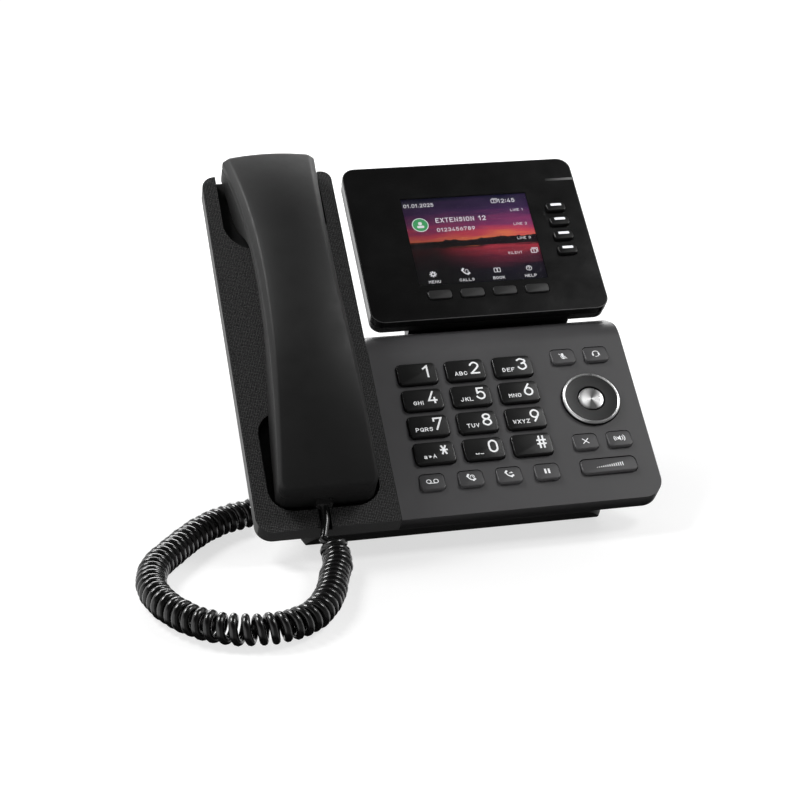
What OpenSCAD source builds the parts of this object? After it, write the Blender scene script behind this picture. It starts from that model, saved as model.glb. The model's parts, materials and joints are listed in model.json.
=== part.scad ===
// Desk telephone with a corded handset, a tilting colour display and a coiled handset cord.
// Millimetres, +X right, +Y away from the user, +Z up. The origin is on the desk, under the middle
// of the body. Everything on the sloping body is drawn in face coordinates: x across, y up the slope
// from the lower front edge, z out of the keypad face.

/* [Body] */
// Overall width of the body
body_w = 197.3; // [190:0.1:205]
// Length of the sloping body, measured up the slope
body_len = 207.5; // [204:0.5:212]
// Thickness of the sloping body at its rim
body_t = 9; // [9:0.5:10]
// Slope of the keypad face, in degrees
slope = 38; // [36:0.5:40]
// Height of the face's lower front edge above the desk
edge_z = 17; // [16.5:0.5:18]
// Width of the handset cradle, on the left
cradle_w = 67.65; // [67.4:0.05:68]
// Wall thickness of the covers
wall = 2; // [2:0.1:2.2]

/* [Keypad] */
// Length of the keypad panel's flat part, up the slope
panel_len = 91.5; // [91:0.5:92.5]
// Radius of the panel's rolled top edge, which is centred on the display hinge
roll_r = 20; // [19.5:0.5:20.5]
// Width and height of a number key
key_size = [19.6, 12.2]; // [10:0.1:20]
// Distance between number keys, across and up the slope
key_pitch = [24.2, 14.95]; // [14:0.05:25]
// Centre of the key for digit 1
key_first = [-9.2, 78.3]; // [-20:0.1:90]
// Clearance around each key in its opening
key_gap = 0.35; // [0.3:0.05:0.4]
// Centre of the navigation ring
ring_at = [74.5, 56.2]; // [50:0.1:80]
// Outer radius of the navigation ring
ring_r = 14.5; // [14:0.1:15]

/* [Display] */
// Left and right sides of the display
display_x = [-25.7, 98.3]; // [-26:0.1:98.6]
// Lower and upper edges of the display, up the slope
display_y = [110, 207.5]; // [109.5:0.5:208]
// Thickness of the display
display_t = 9; // [8.5:0.5:9.5]

/* [Handset] */
// Distance of the handset's middle line from the body's left side
handset_in = 34.15; // [33.9:0.05:34.4]
// Lower and upper ends of the handset, up the slope
handset_y = [13, 209]; // [12:0.5:210]

/* [Cord] */
// Outer diameter of the coiled stretch
coil_d = 14; // [13:0.5:14]
// Diameter of the cord itself
cord_d = 3.8; // [3.4:0.1:4]

/* [Hidden] */
left = -body_w / 2;
right = body_w / 2;
seam = left + cradle_w;
front_y = -(body_len * cos(slope) + body_t * sin(slope)) / 2;
handset_x = left + handset_in;
eps = 0.01;
smooth = 64;
// Radii of outline corners, in the order low left, low right, top right, top left
cradle_r = [8, 0, 5.5, 7];
panel_r = [0, 10, 14, 0];
display_r = [6, 7, 8, 7];
// The tray closes the slab from below, inside the covers' rims
tray_in = wall + 0.2;
tray_t = 1.5;
// Roll of the panel's top edge, and the hinge in its centre
roll_at = [panel_len, -roll_r];
roll_in = roll_r - wall;
pin_r = 2.5;
pin_gap = 0.05;
pin_x = [-14, 90];
hub_x = [-3, 82];
hub_r = 7;
arm_angle = -16;
arm_t = 6;
arm_reach = 32;
slot_angle = 27;
// Wells for the handset's two ends, and the notch that its cord leaves by
well_n = -6;
low_well = [handset_x - 26.5, 10, handset_x + 26.5, 64];
top_well = [handset_x - 26.8, 160, handset_x + 26.3, body_len + 1];
notch_x = [-69.2, -63.8];
notch_n = -2.6;
// Keys: face height at the low and high edge, depth under the face, and the lip that retains them
digit_rise = [1.9, 1.1];
small_rise = [1.9, 0.3];
key_lip = [-3.2, -2.3];
rocker_lip = [-3.5, -2.7];
lip_w = 1;
small_size = [12, 9];
small_y = 18.2;
small_first = -13.2;
small_pitch = 18.8;
side_x = [66, 83.2];
side_y = [82, 32.7];
rocker = [60.4, 14.4, 88.4, 23];
ok_r = 6.3;
rim_n = 0.7;
rim_w = 1.7;
// Display parts
window = [-1, 129.2, 73.5, 189.2];
soft_first = 11.6;
soft_pitch = 17;
soft_y = 124.6;
soft_size = [12, 5.4];
line_x = 84;
line_first = 174.9;
line_pitch = 9.27;
line_size = [10, 5.6];
display_split = -4.5;
// Wedge and foot under the slab, with distances measured back from the front edge
wedge_x = 72;
wedge_front = 15;
wedge_z = 10;
foot_x = [-77.5, 74.3];
foot_y = [13, 142];
foot_z = [1, 10];
foot_r = 12;
// Width and height of the chamfer round the foot's lower edge
foot_cut = [4, 5];
pad_r = 7;
board_z = 12.6;
board_t = 1.6;
screw_post_r = 5;
screw_post_h = 11.4;
rj9_y = [57, 76];
rj9_out = [14, 11.5, 9.6];
rj9_hole = [12, 8, 7];
rj45_x = [6, 26];
rj45_out = [16, 18, 13.6];
rj45_hole = [12.2, 14, 8.6];
dc_x = 46;
plug = [7.6, 6.6, 12];
plug_at = [-66.3, 10, 1];
speaker_at = [-51.5, 88, -24.4];
speaker_r = 17;
hook_at = [handset_x, 38];
hook = [10, 8];
hook_foot_n = -15.3;

// ---------- helpers ----------

// Puts children drawn in face coordinates on the sloping body
module on_face() {
  translate([0, front_y, edge_z]) rotate([slope, 0, 0]) children();
}

// Extrudes a profile drawn in (y, z) along X
module along_x(x0, x1) {
  translate([x0, 0, 0]) rotate([90, 0, 90]) linear_extrude(x1 - x0) children();
}

// Rectangle with its own radius at each corner, in the order low left, low right, top right, top left
module outline(x0, y0, x1, y1, r) {
  difference() {
    translate([x0, y0]) square([x1 - x0, y1 - y0]);
    corner(x0, y0, 1, 1, r[0]);
    corner(x1, y0, -1, 1, r[1]);
    corner(x1, y1, -1, -1, r[2]);
    corner(x0, y1, 1, -1, r[3]);
  }
}

// What is cut away at one corner to round it
module corner(x, y, sx, sy, r) {
  if (r > 0) translate([x, y]) mirror([sx < 0 ? 1 : 0, 0]) mirror([0, sy < 0 ? 1 : 0])
    difference() {
      translate([-1, -1]) square([r + 1, r + 1]);
      translate([r, r]) circle(r = r, $fn = smooth);
    }
}

// Plate with rounded corners between two heights
module plate(x0, y0, x1, y1, r, n0, n1) {
  translate([0, 0, n0]) linear_extrude(n1 - n0) outline(x0, y0, x1, y1, r);
}

function same(r) = [r, r, r, r];
function inset(r, t) = [for (v = r) max(v - t, 0)];

// ---------- base covers ----------

module cradle_well(w, r, n) {
  plate(w[0], w[1], w[2], w[3], r, n, 1);
}

module cradle_cover() {
  color([0.07, 0.07, 0.075]) on_face() difference() {
    union() {
      difference() {
        plate(left, 0, seam - 0.2, body_len, cradle_r, -body_t, 0);
        plate(left + wall, wall, seam - 0.2 - wall, body_len - wall, inset(cradle_r, wall),
              -body_t - 1, -wall);
      }
      // Walls and floors of the two wells
      plate(low_well[0] - 1.5, low_well[1] - 1.5, low_well[2] + 1.5, low_well[3] + 1.5, same(13.5),
            well_n - 1.5, -eps);
      plate(top_well[0] - 1.5, top_well[1] - 1.5, top_well[2] + 1.5, body_len, [18, 18, 0, 0],
            well_n - 1.5, -eps);
    }
    cradle_well(low_well, same(12), well_n);
    cradle_well(top_well, [16.5, 16.5, 0, 0], well_n);
    // Notch for the cord and its plug, and the opening for the hook switch
    plate(notch_x[0], -1, notch_x[1], low_well[1] + 4, same(0), notch_n, 1);
    plate(hook_at[0] - hook[0] / 2 - 0.4, hook_at[1] - hook[1] / 2 - 0.4, hook_at[0] + hook[0] / 2 + 0.4,
          hook_at[1] + hook[1] / 2 + 0.4, same(1), -body_t - 1, 0);
  }
}

// Opening in a cover for a key of a given centre and size
module key_hole(at, size, r) {
  g = key_gap;
  plate(at[0] - size[0] / 2 - g, at[1] - size[1] / 2 - g, at[0] + size[0] / 2 + g,
        at[1] + size[1] / 2 + g, same(r + g), -wall - 1, 1);
}

function digit_at(i) = [key_first[0] + (i % 3) * key_pitch[0],
                        key_first[1] - floor(i / 3) * key_pitch[1]];
function small_at(i) = [small_first + i * small_pitch, small_y];
function side_at(i) = [side_x[i % 2], side_y[floor(i / 2)]];
function soft_at(i) = [soft_first + i * soft_pitch, soft_y];
function line_at(i) = [line_x, line_first - i * line_pitch];
rocker_at = [(rocker[0] + rocker[2]) / 2, (rocker[1] + rocker[3]) / 2];
rocker_size = [rocker[2] - rocker[0], rocker[3] - rocker[1]];

// Section through the rolled top: a ring from the flat face round to a vertical tangent
module roll_ring(r_out, r_in) {
  difference() {
    translate(roll_at) circle(r = r_out, $fn = 2 * smooth);
    if (r_in > 0) translate(roll_at) circle(r = r_in, $fn = 2 * smooth);
    translate([roll_at[0] - 60, roll_at[1] - 60]) square([60, 120]);
    translate(roll_at) rotate(-slope) translate([-60, -60]) square([120, 60]);
  }
}

module keypad_cover() {
  color([0.29, 0.285, 0.29]) on_face() difference() {
    union() {
      plate(seam, 0, right, panel_len, [0, panel_r[1], 0, 0], -wall, 0);
      difference() {
        plate(seam, 0, right, panel_len, [0, panel_r[1], 0, 0], -body_t, -wall + eps);
        plate(seam + wall, wall, right - wall, panel_len + 1, [0, panel_r[1] - wall, 0, 0], -body_t - 1, 0);
      }
      intersection() {
        along_x(seam, right) roll_ring(roll_r, roll_in);
        plate(seam, 0, right, panel_len + roll_r + 1, panel_r, -60, 1);
      }
    }
    for (i = [0:11]) key_hole(digit_at(i), key_size, 2.4);
    for (i = [0:3]) key_hole(small_at(i), small_size, 2.2);
    for (i = [0:3]) key_hole(side_at(i), small_size, 2.2);
    key_hole(rocker_at, rocker_size, 2.6);
    translate([ring_at[0], ring_at[1], -wall - 1]) cylinder(r = ring_r + 0.4, h = wall + 2, $fn = 96);
    // Slot at the back of the roll for the display's arm
    along_x(hub_x[0] - 0.6, hub_x[1] + 0.6) translate(roll_at)
      polygon([[1, 0], [1, -60], [60, -60], [60, 60 * tan(slot_angle)]]);
  }
}

// ---------- lower housing ----------

// Centre of the roll as distance back and height, and the back wall below its rear tangent
roll_y = panel_len * cos(slope) + roll_r * sin(slope);
roll_z = edge_z + panel_len * sin(slope) - roll_r * cos(slope);
back_y = roll_y + roll_r;
meet_y = 74;

// Height of the slab's underside, where the wedge runs 0.5 mm into the trays
function under(y) = edge_z + y * tan(slope) - (body_t - 0.5) / cos(slope);

// Outside of the wedge under the cradle, then under the keypad, in (distance back, height)
// and thinned by t for the hollow
module wedge_left(t) {
  polygon([[wedge_front + t, wedge_z - t], [back_y - t, wedge_z - t],
           [back_y - t, under(back_y) - t], [wedge_front + t, under(wedge_front) - t]]);
}

module wedge_right(t) {
  top = roll_z + (t > 0 ? 1 : -0.3);
  polygon([[wedge_front + t, wedge_z - t], [back_y - t, wedge_z - t], [back_y - t, top], [roll_y + 6, top],
           [meet_y, under(meet_y) - t], [wedge_front + t, under(wedge_front) - t]]);
}

// Belly that closes the roll from below, outside the wedge; t thins it to its shell
roll_end = roll_at + (roll_r - 0.2) * [cos(slope + 3), -sin(slope + 3)];
belly = [roll_end, roll_at + [1, -14], [panel_len - 15, -body_t]];

module roll_belly() {
  polygon([belly[0], belly[1], belly[2], [panel_len, -body_t], roll_at + [4, 10], roll_at + [8, 0]]);
}

module roll_floor() {
  polygon([belly[0], belly[1], belly[2], belly[2] + [3, 0], belly[1] + [0.6, 2.2], belly[0] - [2.6, 0]]);
}

module hinge_lug(x) {
  along_x(x, x + 5) union() {
    translate(roll_at) circle(r = 6, $fn = smooth);
    polygon([roll_at + [5, 0], roll_at + [2, -13], roll_at + [0, -12], roll_at + [-5, -3.5],
             [panel_len - 14, -body_t], [panel_len - 8, -body_t + 1], roll_at + [-3, 3]]);
  }
}

module housing_solids() {
  on_face() {
    // Trays under the two covers
    plate(left + tray_in, tray_in, seam - 0.2 - tray_in, body_len - tray_in,
          inset(cradle_r, tray_in), -body_t, -body_t + tray_t);
    plate(seam + tray_in, tray_in, right - tray_in, panel_len - 4, [0, panel_r[1] - wall, 0, 0],
          -body_t, -body_t + tray_t);
    intersection() {
      union() {
        along_x(wedge_x - 1, right - wall) roll_floor();
        along_x(seam + 0.3, seam + 2.3) roll_ring(roll_in - 0.2, 0);
        along_x(right - 12, right) union() {
          roll_ring(roll_in - 0.2, 0);
          roll_belly();
        }
      }
      plate(seam, 0, right, panel_len + roll_r + 1, panel_r, -60, 1);
    }
    hinge_lug(hub_x[0] - 6);
    hinge_lug(hub_x[1] + 1);
  }
  translate([0, front_y, 0]) difference() {
    union() {
      along_x(-wedge_x, seam) wedge_left(0);
      along_x(seam - 1, wedge_x) wedge_right(0);
    }
    along_x(-wedge_x + wall, seam - wall) wedge_left(wall);
    along_x(seam - wall - 1, wedge_x - wall) wedge_right(wall);
  }
  translate([0, front_y, wedge_z]) for (p = screw_at) translate(p)
    cylinder(r = screw_post_r, h = screw_post_h, $fn = 48);
}

module lower_housing() {
  color([0.05, 0.05, 0.055]) difference() {
    housing_solids();
    on_face() {
      // Room for the display's hub and arm, and the bore of the hinge pin
      along_x(hub_x[0] - 0.6, hub_x[1] + 0.6) union() {
        translate(roll_at) circle(r = hub_r + 0.6, $fn = smooth);
        translate(roll_at) rotate(arm_angle - 14) square([60, 40]);
      }
      along_x(pin_x[0] - 1, pin_x[1] + 1) translate(roll_at) circle(r = pin_r, $fn = smooth);
      plate(hook_at[0] - hook[0] / 2 - 0.4, hook_at[1] - hook[1] / 2 - 0.4,
            hook_at[0] + hook[0] / 2 + 0.4, hook_at[1] + hook[1] / 2 + 0.4, same(1), -body_t - 3, 0);
    }
    // Clearance for the covers' walls along the seam
    on_face() plate(seam - tray_in - 0.3, 0, seam + tray_in, panel_len + 50, same(0), -body_t - 0.1, 0);
    translate([0, front_y, 0]) {
      for (p = screw_at) translate([p[0], p[1], wedge_z - 1]) cylinder(r = 1.5, h = 9, $fn = 48);
      // Openings for the sockets
      for (y = rj9_y) translate([-wedge_x - 1, y - rj9_out[1] / 2 - 0.2, wedge_z - 1])
        cube([4, rj9_out[1] + 0.4, board_z - wedge_z + rj9_out[2] + 1.2]);
      for (x = rj45_x) translate([x - rj45_out[0] / 2 - 0.2, back_y - 3, wedge_z - 1])
        cube([rj45_out[0] + 0.4, 4, board_z - wedge_z + rj45_out[2] + 1.2]);
      translate([dc_x - 5.2, back_y - 3, wedge_z - 1]) cube([10.4, 4, board_z - wedge_z + 12.8]);
      // Vent slots in the back wall
      for (i = [0:7]) translate([-20 + 8 * i, back_y - 3, 40]) cube([3, 4, 12]);
    }
  }
}

// ---------- foot ----------

screw_at = [[-45, 23], [45, 23], [-45, 98.2], [62, 98.2]];
pad_at = [[-60, 27], [60, 27], [-60, 127], [60, 127]];

// The foot's outer form, its sides thinned by t for the hollow, from a height of z0
module foot_block(t, z0) {
  a = [foot_x[0] + t, foot_y[0] + t];
  b = [foot_x[1] - t, foot_y[1] - t];
  z1 = foot_z[0] + foot_cut[1];
  intersection() {
    plate(a[0], a[1], b[0], b[1], same(foot_r - t), z0, foot_z[1] - t);
    along_x(-100, 100) polygon(foot_side(a[1], b[1], z1));
    translate([0, 200, 0]) rotate([90, 0, 0]) linear_extrude(300) polygon(foot_side(a[0], b[0], z1));
  }
}

function foot_side(a, b, z1) = [
  [a + foot_cut[0], -1], [b - foot_cut[0], -1], [b - foot_cut[0], foot_z[0]], [b, z1], [b, 20],
  [a, 20], [a, z1], [a + foot_cut[0], foot_z[0]]];

module stand_foot() {
  color([0.04, 0.04, 0.045]) translate([0, front_y, 0]) difference() {
    union() {
      difference() {
        foot_block(0, foot_z[0]);
        foot_block(wall, 0);
      }
      for (p = pad_at) translate([p[0], p[1], foot_z[0] + 1]) cylinder(r = pad_r + 1.5, h = 7, $fn = smooth);
      for (x = [-45, 0, 45]) translate([x - 1, foot_y[0] + 5, foot_z[0] + 1])
        cube([2, foot_y[1] - foot_y[0] - 10, 7]);
      for (p = screw_at) translate([p[0], p[1], foot_z[0] + 1]) cylinder(r = 5, h = 7, $fn = smooth);
      for (p = board_posts) translate([p[0], p[1], foot_z[1] - 1])
        cylinder(r = 3, h = board_z - board_t - foot_z[1] + 1, $fn = 48);
    }
    for (p = screw_at) translate([p[0], p[1], -1]) cylinder(r = 1.6, h = 20, $fn = 48);
    for (p = screw_at) translate([p[0], p[1], -1]) cylinder(r = 3.4, h = 5, $fn = 48);
  }
}

board_posts = [[-58, 36], [58, 36], [-58, 80], [58, 80]];

module rubber_feet() {
  color([0.03, 0.03, 0.03]) translate([0, front_y, 0])
    for (p = pad_at) translate([p[0], p[1], 0]) cylinder(r = pad_r, h = foot_z[0] + 1, $fn = smooth);
}

module housing_screws() {
  color([0.6, 0.6, 0.62]) translate([0, front_y, 0]) for (p = screw_at) translate([p[0], p[1], 0]) {
    translate([0, 0, 2]) cylinder(r = 3, h = 2, $fn = 48);
    translate([0, 0, 2]) cylinder(r = 1.4, h = 14, $fn = 48);
  }
}

// ---------- inside the base ----------

module main_board() {
  color([0.05, 0.3, 0.14]) translate([0, front_y, board_z - board_t]) {
    translate([-wedge_x + wall + 1, 30, 0]) cube([2 * (wedge_x - wall - 1), 56, board_t]);
    translate([-6, 86 - eps, 0]) cube([61, 16, board_t]);
  }
}

module keypad_board() {
  color([0.05, 0.3, 0.14]) on_face()
    plate(seam + 6, 6, right - 6, panel_len - 5, same(2), -body_t + tray_t, -body_t + tray_t + 1.4);
}

// Silicone sheet with a low dome under each key
module dome_mat() {
  top = -body_t + tray_t + 2.1;
  color([0.75, 0.75, 0.72]) on_face() {
    plate(seam + 8, 8, right - 8, panel_len - 6, same(2), -body_t + tray_t + 1.4, top);
    for (i = [0:11]) dome(digit_at(i), top);
    for (i = [0:3]) dome(small_at(i), top);
    for (i = [0:3]) dome(side_at(i), top);
  }
}

module dome(at, n) {
  translate([at[0], at[1], n - 0.1]) cylinder(r1 = 3.2, r2 = 2, h = 0.7, $fn = 32);
}

// Round driver hung under the cradle tray, facing the desk user
module loudspeaker() {
  color([0.15, 0.15, 0.16]) on_face() translate(speaker_at) difference() {
    union() {
      translate([0, 0, 8]) cylinder(r = speaker_r, h = 5.7, $fn = smooth);
      translate([0, 0, 3]) cylinder(r1 = 10, r2 = speaker_r - 2, h = 5 + eps, $fn = smooth);
      cylinder(r = 10, h = 3.5, $fn = smooth);
    }
    translate([0, 0, 9]) cylinder(r1 = 6, r2 = speaker_r - 2, h = 5, $fn = smooth);
  }
}

module side_jacks() {
  color([0.12, 0.12, 0.13]) translate([0, front_y, board_z]) for (y = rj9_y) difference() {
    translate([-wedge_x, y - rj9_out[1] / 2, 0]) cube(rj9_out);
    translate([-wedge_x - 1, y - rj9_hole[1] / 2, rj9_out[2] / 2 - rj9_hole[2] / 2])
      cube([rj9_hole[0] + 1, rj9_hole[1], rj9_hole[2]]);
  }
}

module rear_jacks() {
  color([0.2, 0.2, 0.21]) translate([0, front_y, board_z]) {
    for (x = rj45_x) difference() {
      translate([x - rj45_out[0] / 2, back_y - rj45_out[1], 0]) cube(rj45_out);
      translate([x - rj45_hole[0] / 2, back_y - rj45_hole[1], 2.4])
        cube([rj45_hole[0], rj45_hole[1] + 1, rj45_hole[2]]);
    }
    difference() {
      translate([dc_x - 5, back_y - 14, 0]) cube([10, 14, 11.5]);
      translate([dc_x, back_y + 1, 6.5]) rotate([90, 0, 0]) cylinder(r = 3.1, h = 11, $fn = 48);
    }
    translate([dc_x, back_y - 1, 6.5]) rotate([90, 0, 0]) cylinder(r = 1, h = 10, $fn = 48);
  }
}

module hinge_pin() {
  color([0.7, 0.7, 0.72]) on_face() along_x(pin_x[0], pin_x[1]) translate(roll_at)
    circle(r = pin_r, $fn = smooth);
}

// Plunger in the floor of the lower well, held down by the handset
module hook_switch() {
  color([0.1, 0.1, 0.1]) on_face() union() {
    plate(hook_at[0] - hook[0] / 2, hook_at[1] - hook[1] / 2, hook_at[0] + hook[0] / 2,
          hook_at[1] + hook[1] / 2, same(1), hook_foot_n, well_n);
    plate(hook_at[0] - hook[0] / 2, hook_at[1] - hook[1] / 2 - 1.5, hook_at[0] + hook[0] / 2,
          hook_at[1] + hook[1] / 2 + 1.5, same(1), hook_foot_n, hook_foot_n + 1.4);
  }
}

// ---------- keys ----------

// Key with a sloping top: rise holds the height of its low edge and of its high edge
module key_cap(at, size, r, rise, base) {
  x0 = at[0] - size[0] / 2;
  x1 = at[0] + size[0] / 2;
  y0 = at[1] - size[1] / 2;
  y1 = at[1] + size[1] / 2;
  intersection() {
    plate(x0, y0, x1, y1, same(r), base[1] - eps, 4);
    along_x(x0 - 1, x1 + 1) polygon([[y0, base[1] - eps], [y1, base[1] - eps], [y1, rise[1]], [y0, rise[0]]]);
  }
  plate(x0 - lip_w, y0 - lip_w, x1 + lip_w, y1 + lip_w, same(r), base[0], base[1]);
}

module digit_key(i) {
  color([0.03, 0.03, 0.032]) on_face() key_cap(digit_at(i), key_size, 2.4, digit_rise, key_lip);
}

module small_key(at) {
  color([0.2, 0.2, 0.205]) on_face() key_cap(at, small_size, 2.2, small_rise, key_lip);
}

module key_1() { digit_key(0); }
module key_2() { digit_key(1); }
module key_3() { digit_key(2); }
module key_4() { digit_key(3); }
module key_5() { digit_key(4); }
module key_6() { digit_key(5); }
module key_7() { digit_key(6); }
module key_8() { digit_key(7); }
module key_9() { digit_key(8); }
module key_star() { digit_key(9); }
module key_0() { digit_key(10); }
module key_hash() { digit_key(11); }
module voicemail_key() { small_key(small_at(0)); }
module call_list_key() { small_key(small_at(1)); }
module redial_key() { small_key(small_at(2)); }
module hold_key() { small_key(small_at(3)); }
module mute_key() { small_key(side_at(0)); }
module headset_key() { small_key(side_at(1)); }
module cancel_key() { small_key(side_at(2)); }
module speaker_key() { small_key(side_at(3)); }

// Rocker with a round rib under its middle to rock on
module volume_rocker() {
  color([0.2, 0.2, 0.205]) on_face() {
    key_cap(rocker_at, rocker_size, 2.6, small_rise, rocker_lip);
    translate([rocker_at[0], rocker[1], rocker_lip[0]]) rotate([-90, 0, 0])
      cylinder(r = 1.1, h = rocker_size[1], $fn = 32);
  }
}

// Hidden plate that carries the ring and tips up and down the slope
module navigation_carrier() {
  color([0.12, 0.12, 0.12]) on_face() translate([ring_at[0], ring_at[1], -4.6]) difference() {
    cylinder(r = ring_r + 1.2, h = 0.9, $fn = 96);
    translate([0, 0, -1]) cylinder(r = ok_r + 1.2, h = 3, $fn = smooth);
  }
}

// Dished ring that tips left and right on its carrier
module navigation_ring() {
  color([0.02, 0.02, 0.02]) on_face() translate([ring_at[0], ring_at[1], 0])
    rotate_extrude($fn = 96) polygon([
      [ok_r + 0.4, -3.2], [ring_r, -3.2], [ring_r, rim_n], [ring_r - rim_w - 0.05, rim_n],
      [ring_r - rim_w - 0.05, 1.7], [ok_r + 1.4, 0.9], [ok_r + 0.4, 0.7]]);
}

// Bright metal rim seated on the ring's shoulder, clear of the cover as it tips
module navigation_rim() {
  color([0.8, 0.8, 0.82]) on_face() translate([ring_at[0], ring_at[1], 0])
    rotate_extrude($fn = 96) polygon([
      [ring_r - rim_w, rim_n], [ring_r, rim_n], [ring_r, 1.6], [ring_r - 0.5, 2.1],
      [ring_r - 1.2, 2.1], [ring_r - rim_w, 1.7]]);
}

module ok_button() {
  color([0.75, 0.76, 0.78]) on_face() translate([ring_at[0], ring_at[1], 0])
    rotate_extrude($fn = 96) polygon([[0, -3.2], [ok_r, -3.2], [ok_r, 0.8], [ok_r - 0.4, 1.2], [0, 1.2]]);
}

// ---------- display ----------

module display_bezel() {
  color([0.02, 0.02, 0.022]) on_face() difference() {
    plate(display_x[0], display_y[0], display_x[1], display_y[1], display_r, display_split, 0);
    plate(display_x[0] + wall, display_y[0] + wall, display_x[1] - wall, display_y[1] - wall,
          inset(display_r, wall), display_split - 1, -wall);
    plate(window[0], window[1], window[2], window[3], same(2), -wall - 1, 1);
    for (i = [0:3]) key_hole(soft_at(i), soft_size, 1.6);
    for (i = [0:3]) key_hole(line_at(i), line_size, 1.6);
  }
}

module display_lens() {
  color([0.05, 0.05, 0.07, 0.5]) on_face()
    plate(window[0] + 0.1, window[1] + 0.1, window[2] - 0.1, window[3] - 0.1, same(1.9), -1.5, -0.05);
}

module lcd_panel() {
  color([0.1, 0.12, 0.3]) on_face()
    plate(window[0] + 0.5, window[1] + 0.5, window[2] - 0.5, window[3] - 0.5, same(1), -4.3, -1.6);
}

module display_board() {
  color([0.05, 0.3, 0.14]) on_face()
    plate(display_x[0] + 5, display_y[0] + 5, display_x[1] - 5, display_y[1] - 5, same(3), -6, -4.6);
}

// Back of the display with the arm that reaches round the roll to the hinge
module display_rear_shell() {
  tip = roll_at + arm_reach * [cos(arm_angle), sin(arm_angle)];
  side = arm_t / 2 * [-sin(arm_angle), cos(arm_angle)];
  color([0.04, 0.04, 0.043]) on_face() difference() {
    union() {
      difference() {
        plate(display_x[0] + 0.3, display_y[0] + 0.3, display_x[1] - 0.3, display_y[1] - 0.3,
              display_r, -display_t, display_split - 0.05);
        plate(display_x[0] + 3, display_y[0] + 3, display_x[1] - 3, display_y[1] - 3,
              inset(display_r, 3), -display_t + wall, 0);
      }
      along_x(hub_x[0], hub_x[1]) {
        translate(roll_at) circle(r = hub_r, $fn = smooth);
        polygon([roll_at - side, tip - side - [2, 0], [tip[0] + 10, -display_t - 8],
                 [tip[0] + 18, -display_t + eps], [tip[0] - 4, -display_t + eps],
                 tip + side - [6, 0], roll_at + side]);
      }
    }
    along_x(hub_x[0] - 1, hub_x[1] + 1) translate(roll_at) circle(r = pin_r + pin_gap, $fn = smooth);
  }
}

module soft_key(i) {
  color([0.03, 0.03, 0.03]) on_face() key_cap(soft_at(i), soft_size, 1.6, [0.9, 0.5], key_lip);
}

module line_key(i) {
  color([0.03, 0.03, 0.03]) on_face() key_cap(line_at(i), line_size, 1.6, [1.8, 1], key_lip);
}

module soft_key_1() { soft_key(0); }
module soft_key_2() { soft_key(1); }
module soft_key_3() { soft_key(2); }
module soft_key_4() { soft_key(3); }
module line_key_1() { line_key(0); }
module line_key_2() { line_key(1); }
module line_key_3() { line_key(2); }
module line_key_4() { line_key(3); }

// ---------- handset ----------

// Half width, height of the back's edge and height of the underside, along the handset
function half_w(y) = y > 123 ? 18.6 + 5.4 * pow((y - 123) / 86, 1.9) : 18.6 + 5.2 * pow((123 - y) / 110, 1.6);
function back_n(y) = y > 90 ? 34.5 - 18 * pow((y - 90) / 110, 2.3) : 34.5 - 19.5 * pow((90 - y) / 75, 2);
function dip(y, y0, y1) = y < y0 ? 0 : y > y1 ? 1 : (1 - cos(180 * (y - y0) / (y1 - y0))) / 2;
function grip_n(y) = well_n + 0.4 + 24 * dip(y, 44, 105) * (1 - dip(y, 140, 184));
function part_n(y) = max(back_n(y) - 7, grip_n(y) + 3);
function end_in(y, t) = min(1, max(0, (min(y - handset_y[0], handset_y[1] - y)) / t));
// Rounds the two ends in plan and in height
function round_in(y) = sqrt(1 - pow(1 - end_in(y, 4), 2));
function plan_w(y) = half_w(y) - 3 * (1 - round_in(y));
function edge_n(y) = back_n(y) - (y > 100 ? 1.2 : 4) * (1 - round_in(y));
function sole_n(y) = grip_n(y) + 2.5 * (1 - round_in(y));
stations = concat([handset_y[0], handset_y[0] + 0.8, handset_y[0] + 2, handset_y[0] + 4.2],
                  [for (y = [26:8:200]) y],
                  [handset_y[1] - 4.2, handset_y[1] - 2, handset_y[1] - 0.8, handset_y[1]]);
shell_t = 2;
arc_n = 10;

// Ring of points of the outer shell at one station, with its hollow scaled by k
function outer_ring(y, k) = let (w = plan_w(y), h = edge_n(y), p = part_n(y), t = shell_t)
  concat(
    [[-w, y, p], [-w, y, h - 2.5]],
    [for (i = [0:arc_n]) let (a = -1 + 2 * i / arc_n)
      [a * (w - 1.6), y, h + 2.8 * (1 - a * a)]],
    [[w, y, h - 2.5], [w, y, p]],
    [[w - t, y, p], [w - t, y, p + k * max(h - 3 - p, 1)]],
    [for (i = [arc_n:-1:0]) let (a = -1 + 2 * i / arc_n)
      [a * (w - 3), y, p + k * max(h - t - p + 2.6 * (1 - a * a), 1.5)]],
    [[-w + t, y, p + k * max(h - 3 - p, 1)], [-w + t, y, p]]);

function inner_ring(y, k) = let (w = plan_w(y), b = sole_n(y), p = part_n(y) - 0.1, t = shell_t)
  [[w, y, p], [w, y, b + 2], [w - 2, y, b], [-w + 2, y, b], [-w, y, b + 2], [-w, y, p],
   [-w + t, y, p], [-w + t, y, p - k * (p - b - t - 1)], [-w + t + 1, y, p - k * (p - b - t)],
   [w - t - 1, y, p - k * (p - b - t)], [w - t, y, p - k * (p - b - t - 1)], [w - t, y, p]];

// Closed solid through a list of rings with the same even number of points
module loft(rings) {
  n = len(rings[0]);
  m = len(rings);
  polyhedron(
    points = [for (r = rings) each r],
    faces = concat(
      [for (i = [0:n / 2 - 2]) [i, i + 1, n - 2 - i, n - 1 - i]],
      [for (j = [0:m - 2]) for (i = [0:n - 1]) let (a = j * n + i, b = j * n + (i + 1) % n)
        each [[a, a + n, b], [b, a + n, b + n]]],
      [for (i = [0:n / 2 - 2]) let (a = (m - 1) * n) [a + n - 1 - i, a + n - 2 - i, a + i + 1, a + i]]),
    convexity = 6);
}

function hollow(i) = i < 2 || i > len(stations) - 3 ? 0.08 : 1;

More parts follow.
